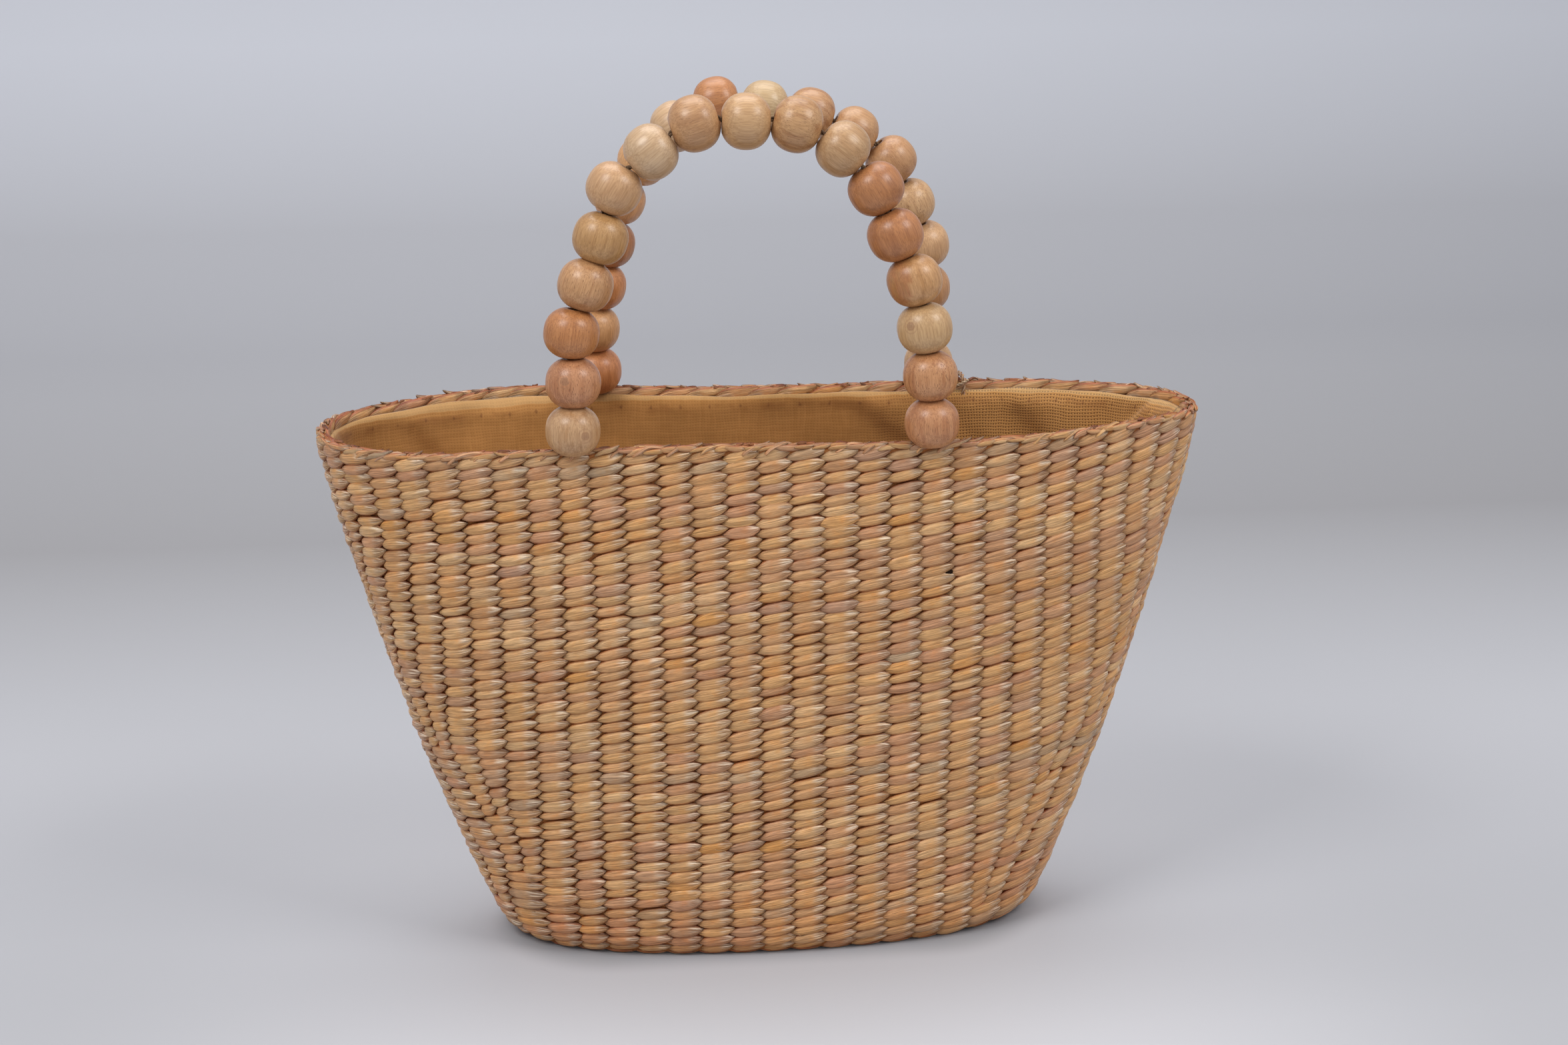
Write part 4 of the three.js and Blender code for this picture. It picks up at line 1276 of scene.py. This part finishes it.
class Graph:
    """A material's nodes, made and linked by short calls. Inputs are numbers, colours or sockets."""

    def __init__(self, name):
        self.material = bpy.data.materials.new(name)
        self.material.use_nodes = True
        self.tree = self.material.node_tree
        self.shader = self.tree.nodes["Principled BSDF"]

    def link(self, value, socket):
        if isinstance(value, bpy.types.NodeSocket):
            self.tree.links.new(value, socket)
        elif hasattr(value, "__len__") and len(value) == 3 and socket.type == "RGBA":
            socket.default_value = (*value, 1)
        else:
            socket.default_value = value

    def node(self, kind, inputs=(), output=0, **settings):
        node = self.tree.nodes.new(kind)
        for key, value in settings.items():
            setattr(node, key, value)
        for key, value in dict(inputs).items():
            self.link(value, node.inputs[key])
        return node.outputs[output]

    def attribute(self, name, output="Color"):
        return self.node("ShaderNodeAttribute", output=output, attribute_name=name)

    def parts(self, vector):
        node = self.tree.nodes.new("ShaderNodeSeparateXYZ")
        self.link(vector, node.inputs[0])
        return node.outputs

    def vector(self, x, y, z):
        return self.node("ShaderNodeCombineXYZ", {0: x, 1: y, 2: z})

    def length(self, vector):
        return self.node("ShaderNodeVectorMath", {0: vector}, output=1, operation="LENGTH")

    def math(self, operation, a, b=0.0):
        return self.node("ShaderNodeMath", {0: a, 1: b}, operation=operation)

    def times(self, a, b):
        return self.math("MULTIPLY", a, b)

    def plus(self, a, b):
        return self.math("ADD", a, b)

    def minus(self, a, b):
        return self.math("SUBTRACT", a, b)

    def noise(self, vector, scale=1.0, detail=2.0, roughness=0.5, distortion=0.0):
        inputs = {"Vector": vector, "Scale": scale, "Detail": detail, "Roughness": roughness,
                  "Distortion": distortion}
        return self.node("ShaderNodeTexNoise", inputs)

    def cells(self, vector):
        return self.node("ShaderNodeTexVoronoi", {"Vector": vector, "Scale": 1.0}, output="Distance")

    def span(self, value, low, high, to_low=0.0, to_high=1.0, smooth=True):
        """Maps a range of a value to another range."""
        kind = "SMOOTHSTEP" if smooth else "LINEAR"
        inputs = {"Value": value, "From Min": low, "From Max": high, "To Min": to_low, "To Max": to_high}
        return self.node("ShaderNodeMapRange", inputs, interpolation_type=kind)

    def mix(self, factor, a, b, blend="MIX"):
        node = self.tree.nodes.new("ShaderNodeMix")
        node.data_type = "RGBA"
        node.blend_type = blend
        self.link(factor, node.inputs["Factor"])
        self.link(a, node.inputs[6])
        self.link(b, node.inputs[7])
        return node.outputs[2]

    def tint(self, a, b):
        return self.mix(1.0, a, b, "MULTIPLY")

    def ramp(self, value, stops):
        node = self.tree.nodes.new("ShaderNodeValToRGB")
        elements = node.color_ramp.elements
        while len(elements) < len(stops):
            elements.new(0.5)
        for element, (place, colour) in zip(elements, stops):
            element.position = place
            element.color = (*colour, 1)
        self.link(value, node.inputs[0])
        return node.outputs[0]

    def bump(self, height, distance, strength=1.0):
        inputs = {"Height": height, "Distance": distance, "Strength": strength}
        return self.node("ShaderNodeBump", inputs)

    def set(self, **inputs):
        names = {"color": "Base Color", "roughness": "Roughness", "normal": "Normal",
                 "specular": "Specular IOR Level", "coat": "Coat Weight",
                 "coat_roughness": "Coat Roughness", "sheen": "Sheen Weight"}
        for key, value in inputs.items():
            self.link(value, self.shader.inputs[names[key]])
        return self.material


def straw_material():
    """Dry stems: fibres run along each leaf and meet at its tips. Its edges carry painted shade, warmer and
    darker, and its upper right part a painted highlight.
    """
    g = Graph("straw")
    along, side, seed = g.parts(g.attribute("fibre", "Vector"))
    shift = g.times(seed, 3.7)
    fine = g.noise(g.vector(g.times(along, 0.10), g.times(side, 6.5), shift), 1.0, 3.0, 0.6, 0.3)
    broad = g.noise(g.vector(g.times(along, 0.035), g.times(side, 3.6), shift), 1.0, 1.0, 0.5, 0.1)
    blotch = g.noise(g.vector(g.times(along, 0.16), side, g.plus(shift, 40)), 1.0, 2.0)
    light = g.mix(g.span(fine, 0.3, 0.7), (0.75, 0.67, 0.585), (1.37, 1.28, 1.19))
    colour = g.tint(g.attribute("tone"), light)
    # Ochre stains in a leaf's middle
    middle = g.span(g.math("ABSOLUTE", along), 1.0, 6.0, 1.0, 0.0)
    stain_and_shade = g.times(g.times(g.span(blotch, 0.5, 0.68), middle), 0.5)
    colour = g.mix(stain_and_shade, colour, g.tint(colour, (1.05, 0.86, 0.6)))
    # A painted highlight, pale, on its upper right part
    painted_highlight = g.times(g.span(along, 0.5, 5.0), g.span(side, -0.35, 0.35))
    painted_highlight = g.times(painted_highlight, g.span(fine, 0.42, 0.6, 0.05, 0.75))
    colour = g.mix(painted_highlight, colour, (0.88, 0.75, 0.58))
    # Creases that fan out from its tips
    tip = g.math("MAXIMUM", g.span(along, 0.5, 6.0, 0.08, 1.0), g.span(along, -7.5, -4.0, 0.75, 0.0))
    crease = g.span(g.math("ABSOLUTE", g.minus(broad, 0.5)), 0.02, 0.10, 1.0, 0.0)
    crease = g.times(crease, tip)
    colour = g.mix(g.times(crease, 0.62), colour, (0.20, 0.085, 0.035))
    # Painted shade on its edges, warm and dark, where they turn into the crevices between leaves; and small
    # brown specks
    edge = g.math("MAXIMUM", g.span(side, 0.68, 1.0), g.span(side, -0.5, -0.96))
    colour = g.mix(g.times(edge, 0.9), colour, g.tint(colour, (0.47, 0.185, 0.075)))
    speck = g.cells(g.vector(g.times(along, 0.5), g.times(side, 3), shift))
    colour = g.mix(g.span(speck, 0.03, 0.09, 0.5, 0.0), colour, (0.12, 0.055, 0.02))
    relief = g.minus(g.plus(g.times(fine, 0.6), g.times(broad, 0.5)), g.times(crease, 0.35))
    roughness = g.span(fine, 0.2, 0.8, 0.46, 0.27)
    return g.set(color=colour, normal=g.bump(relief, 0.0008), roughness=roughness, specular=0.42)


def core_shade_material():
    g = Graph("straw_core_shade")
    position = g.node("ShaderNodeNewGeometry", output="Position")
    grain = g.noise(position, 400.0, 3.0)
    # Dark reddish brown: partly the core's own colour, partly painted shade of the crevices between
    # stitches
    colour = g.mix(g.span(grain, 0.3, 0.7), (0.25, 0.085, 0.022), (0.38, 0.14, 0.04))
    return g.set(color=colour, normal=g.bump(grain, 0.0008), roughness=0.85, specular=0.2)


def bead_material():
    """Turned wood under a satin varnish. Its streaks and pores run along the bead's hole."""
    g = Graph("bead_wood")
    x, y, z = g.parts(g.attribute("grain", "Vector"))
    streaks, pores, knot = g.parts(g.attribute("figure", "Vector"))
    streak_tone = g.attribute("streak_tone")

    def stretched(across, along):
        return g.vector(g.times(x, across), g.times(y, across), g.times(z, along))

    broad = g.noise(stretched(0.24, 0.022), 1.0, 3.0, 0.55, 0.6)
    fine = g.noise(stretched(1.5, 0.07), 1.0, 3.0, 0.6, 0.2)
    pore = g.times(g.span(g.noise(stretched(3.2, 0.42), 1.0, 1.0, 0.4), 0.62, 0.69), pores)
    colour = g.mix(g.times(g.span(broad, 0.42, 0.66), streaks), g.attribute("tone"), streak_tone)
    colour = g.tint(colour, g.mix(g.span(fine, 0.32, 0.66), (0.88, 0.80, 0.71), (1.12, 1.08, 1.03)))
    colour = g.mix(g.times(pore, 0.7), colour, g.tint(streak_tone, (0.42, 0.32, 0.26)))
    # The knot's rings and its dark middle
    rings = g.span(g.math("SINE", g.times(knot, 4.2)), -0.4, 1.0)
    rings = g.times(rings, g.span(knot, 1.8, 5.0, 1.0, 0.0))
    colour = g.mix(g.times(rings, 0.6), colour, (0.34, 0.165, 0.08))
    colour = g.mix(g.span(knot, 1.1, 2.2, 0.6, 0.0), colour, (0.27, 0.13, 0.065))
    relief = g.minus(g.times(fine, 0.35), pore)
    return g.set(color=colour, normal=g.bump(relief, 0.00018, 0.5),
                 roughness=g.span(fine, 0.2, 0.8, 0.44, 0.34), specular=0.45, coat=0.25,
                 coat_roughness=0.22)


def lining_material():
    """Coarse mustard cloth in plain weave. Its holes between threads are its own, their dark colour painted
    shade behind the cloth; broad lighter and darker patches are painted soft light.
    """
    g = Graph("lining_cloth")
    across, upward, openness = g.parts(g.attribute("cloth", "Vector"))
    place = g.vector(across, upward, 0.0)
    across = g.plus(across, g.times(g.noise(place, 0.07, 2.0), 3.0))
    upward = g.plus(upward, g.times(g.noise(g.vector(upward, across, 9.0), 0.06), 3.0))

    # Each thread passes over one and under the next
    warp = g.math("SINE", g.times(across, math.pi / THREAD_PITCH))
    weft = g.math("SINE", g.times(upward, math.pi / THREAD_PITCH))
    warp_lift = g.times(g.times(g.math("SIGN", warp), weft), 0.2)
    weft_lift = g.times(g.times(g.math("SIGN", weft), warp), 0.2)
    warp_high = g.times(g.math("ABSOLUTE", warp), g.plus(0.8, warp_lift))
    weft_high = g.times(g.math("ABSOLUTE", weft), g.minus(0.8, weft_lift))
    high = g.math("MAXIMUM", warp_high, weft_high)

    # Threads of slightly different tones, paler where the weave is open
    warp_number = g.math("FLOOR", g.math("DIVIDE", across, THREAD_PITCH))
    weft_number = g.math("FLOOR", g.math("DIVIDE", upward, THREAD_PITCH))
    warp_tone = g.noise(g.vector(g.times(warp_number, 7.31), g.times(upward, 0.05), 0.0))
    weft_tone = g.noise(g.vector(3.0, g.times(weft_number, 5.77), g.times(across, 0.05)))
    thread = g.span(g.plus(warp_tone, weft_tone), 0.75, 1.25)
    thread = g.mix(thread, (0.365, 0.165, 0.043), (0.415, 0.193, 0.054))
    # Painted soft light and shade: broad lighter and darker patches, as of the cloth's soft folds
    painted_soft_light = g.span(g.noise(place, 0.02, 3.0), 0.3, 0.7)
    thread = g.tint(thread, g.mix(painted_soft_light, (0.86, 0.84, 0.80), (1.14, 1.14, 1.15)))
    thread = g.mix(g.times(openness, 0.22), thread, (0.60, 0.33, 0.11))
    # Painted shade: the holes between threads show dark, as the shade behind the cloth
    hole = g.times(g.span(high, 0.24, 0.62, 1.0, 0.0), openness)
    colour = g.mix(hole, thread, (0.11, 0.045, 0.012))

    # The hem: its pale edge, a painted shadow in a dark line below it, and a stitch every 15 mm
    edge = g.span(upward, 255.6, 256.4)
    colour = g.mix(g.times(edge, 0.3), colour, (0.6, 0.42, 0.2))
    hem_shadow_band = g.times(g.span(upward, 248.0, 252.5), g.span(upward, 253.0, 254.6, 1.0, 0.0))
    stain_and_shade = g.times(hem_shadow_band, g.span(g.noise(place, 0.09, 2.0), 0.45, 0.65, 0.1, 0.5))
    colour = g.mix(stain_and_shade, colour, (0.22, 0.08, 0.018))
    beside = g.minus(g.math("MODULO", g.plus(across, 900.0), HEM_STITCH), HEM_STITCH / 2)
    dot = g.length(g.vector(beside, g.times(g.minus(upward, 252.6), 0.7), 0.0))
    dot = g.plus(dot, g.times(g.noise(place, 0.6, 2.0), 1.6))
    colour = g.mix(g.span(dot, 0.9, 1.9, 0.6, 0.0), colour, (0.16, 0.055, 0.016))
    return g.set(color=colour, normal=g.bump(g.times(high, openness), 0.0005, 0.8), roughness=0.85,
                 specular=0.25, sheen=0.15)


def string_material():
    g = Graph("string_plies")
    along, side, seed = g.parts(g.attribute("fibre", "Vector"))
    lines = g.noise(g.vector(g.times(along, 0.8), g.times(side, 14.0), seed), 1.0, 2.0)
    colour = g.mix(g.span(lines, 0.3, 0.7), (0.12, 0.07, 0.04), (0.30, 0.19, 0.11))
    return g.set(color=colour, normal=g.bump(lines, 0.0003), roughness=0.8, specular=0.25)


# Stage, lights and camera

def build_camera():
    camera = bpy.data.objects.new("camera", bpy.data.cameras.new("camera"))
    camera.data.lens = CAMERA_LENS
    camera.data.sensor_width = CAMERA_SENSOR
    camera.data.sensor_fit = "HORIZONTAL"
    camera.data.clip_start = 0.01
    camera.data.clip_end = 50
    turn = Matrix.Rotation(-math.radians(CAMERA_TURN), 4, "Z")
    dip = Matrix.Rotation(math.pi / 2 - math.radians(CAMERA_DIP), 4, "X")
    roll = Matrix.Rotation(math.radians(CAMERA_ROLL), 4, "Z")
    place = Matrix.Translation(Vector(CAMERA_PLACE) * MM)
    camera.matrix_world = place @ turn @ dip @ roll
    bpy.context.scene.collection.objects.link(camera)
    bpy.context.scene.camera = camera


def area_light(name, place, target, size, power):
    light = bpy.data.lights.new(name, "AREA")
    light.shape = "RECTANGLE"
    light.size, light.size_y = size
    light.energy = power
    obj = bpy.data.objects.new(name, light)
    obj.location = place
    direction = Vector(target) - Vector(place)
    obj.rotation_euler = direction.to_track_quat("-Z", "Y").to_euler()
    bpy.context.scene.collection.objects.link(obj)


# Painted light and shade on the floor and the backdrop, by how far back they lie: paler near and far back,
# darker in a band between
STAGE_NEAR = -0.2
STAGE_FAR = 2.6
STAGE_PAINTED_LIGHT = [
    (0.02, (0.56, 0.56, 0.585)),
    (0.08, (0.50, 0.50, 0.525)),
    (0.20, (0.425, 0.425, 0.445)),
    (0.34, (0.330, 0.324, 0.333)),
    (0.55, (0.44, 0.437, 0.453)),
    (0.80, (0.53, 0.53, 0.555)),
    (0.93, (0.70, 0.71, 0.755)),
]
# Painted on the floor in front: light paler in the middle than at the sides, and a painted contact shadow
# close round the base
STAGE_SIDE_SHADE = 0.725
BASE_SHADE = 0.68
SHADE_FROM = 0.044
SHADE_TO = 0.066

# The backdrop: where the floor ends, the radius of its sweep and the sweep's steps, in metres
SWEEP_START = 1.6
SWEEP_RADIUS = 1.2
SWEEP_STEPS = 24
STAGE_HALF_WIDTH = 7


def build_stage():
    """A pale floor that sweeps up into a pale backdrop, with light and shade painted on both."""
    profile = [(-6, 0), (-1, 0), (0, 0), (1, 0), (SWEEP_START, 0)]
    for i in range(1, SWEEP_STEPS + 1):
        angle = i / SWEEP_STEPS * math.pi / 2
        profile.append((SWEEP_START + SWEEP_RADIUS * math.sin(angle), SWEEP_RADIUS * (1 - math.cos(angle))))
    back = SWEEP_START + SWEEP_RADIUS
    profile += [(back, 2.4), (back, 6)]
    sides = [-STAGE_HALF_WIDTH, STAGE_HALF_WIDTH]
    points = np.array([(x, y, z) for y, z in profile for x in sides]) / MM
    obj = mesh_object("stage", points, grid_quads(len(profile), len(sides)))
    g = Graph("stage")
    across, depth, _ = g.parts(g.node("ShaderNodeNewGeometry", output="Position"))
    away = g.math("ABSOLUTE", across)
    colour = g.ramp(g.span(depth, STAGE_NEAR, STAGE_FAR, smooth=False), STAGE_PAINTED_LIGHT)
    # Painted light: a little paler at the left than at the right
    side = g.span(across, -1.2, 1.4, 1.03, 0.94, smooth=False)
    colour = g.tint(colour, g.vector(side, side, side))
    # Painted shade: the floor in front darker towards the sides
    edge = g.span(away, 0.1, 0.36, 1.0, STAGE_SIDE_SHADE)
    near = g.span(depth, -0.12, 0.3, 1.0, 0.0)
    colour = g.mix(near, colour, g.tint(colour, g.vector(edge, edge, edge)))
    # Painted contact shadow close round the base
    beyond = g.math("MAXIMUM", g.minus(away, (BASE_HALF_LENGTH - BASE_HALF_DEPTH) * MM), 0.0)
    shade = g.span(g.length(g.vector(beyond, depth, 0.0)), SHADE_FROM, SHADE_TO, BASE_SHADE, 1.0)
    colour = g.tint(colour, g.vector(shade, shade, shade))
    obj.data.materials.append(g.set(color=colour, roughness=0.9, specular=0.1))


def build_lights():
    world = bpy.data.worlds.new("studio")
    world.use_nodes = True
    background = world.node_tree.nodes["Background"]
    background.inputs["Color"].default_value = (0.93, 0.95, 1.0, 1)
    background.inputs["Strength"].default_value = 0.62
    bpy.context.scene.world = world
    area_light("key", (-1.0, -0.9, 1.7), (0, 0, 0.15), (0.8, 0.8), 16.5)
    area_light("fill", (1.2, -0.8, 1.6), (0, 0, 0.15), (0.8, 0.8), 14)
    area_light("top", (0, 0.5, 2.0), (0, 0, 0.1), (1.6, 1.2), 19)


build_camera()
build_stage()
build_lights()
view = bpy.context.scene.view_settings
view.view_transform = "Standard"
view.look = "None"

straw = straw_material()
core = core_shade_material()
build_weave(straw)
build_underside(straw)
build_core(core)
build_gaps()
build_fibres(straw)
build_rim(straw, core)
places = build_beads(bead_material())
build_strings(places, string_material())
build_tie(places, straw)
build_lining(lining_material())
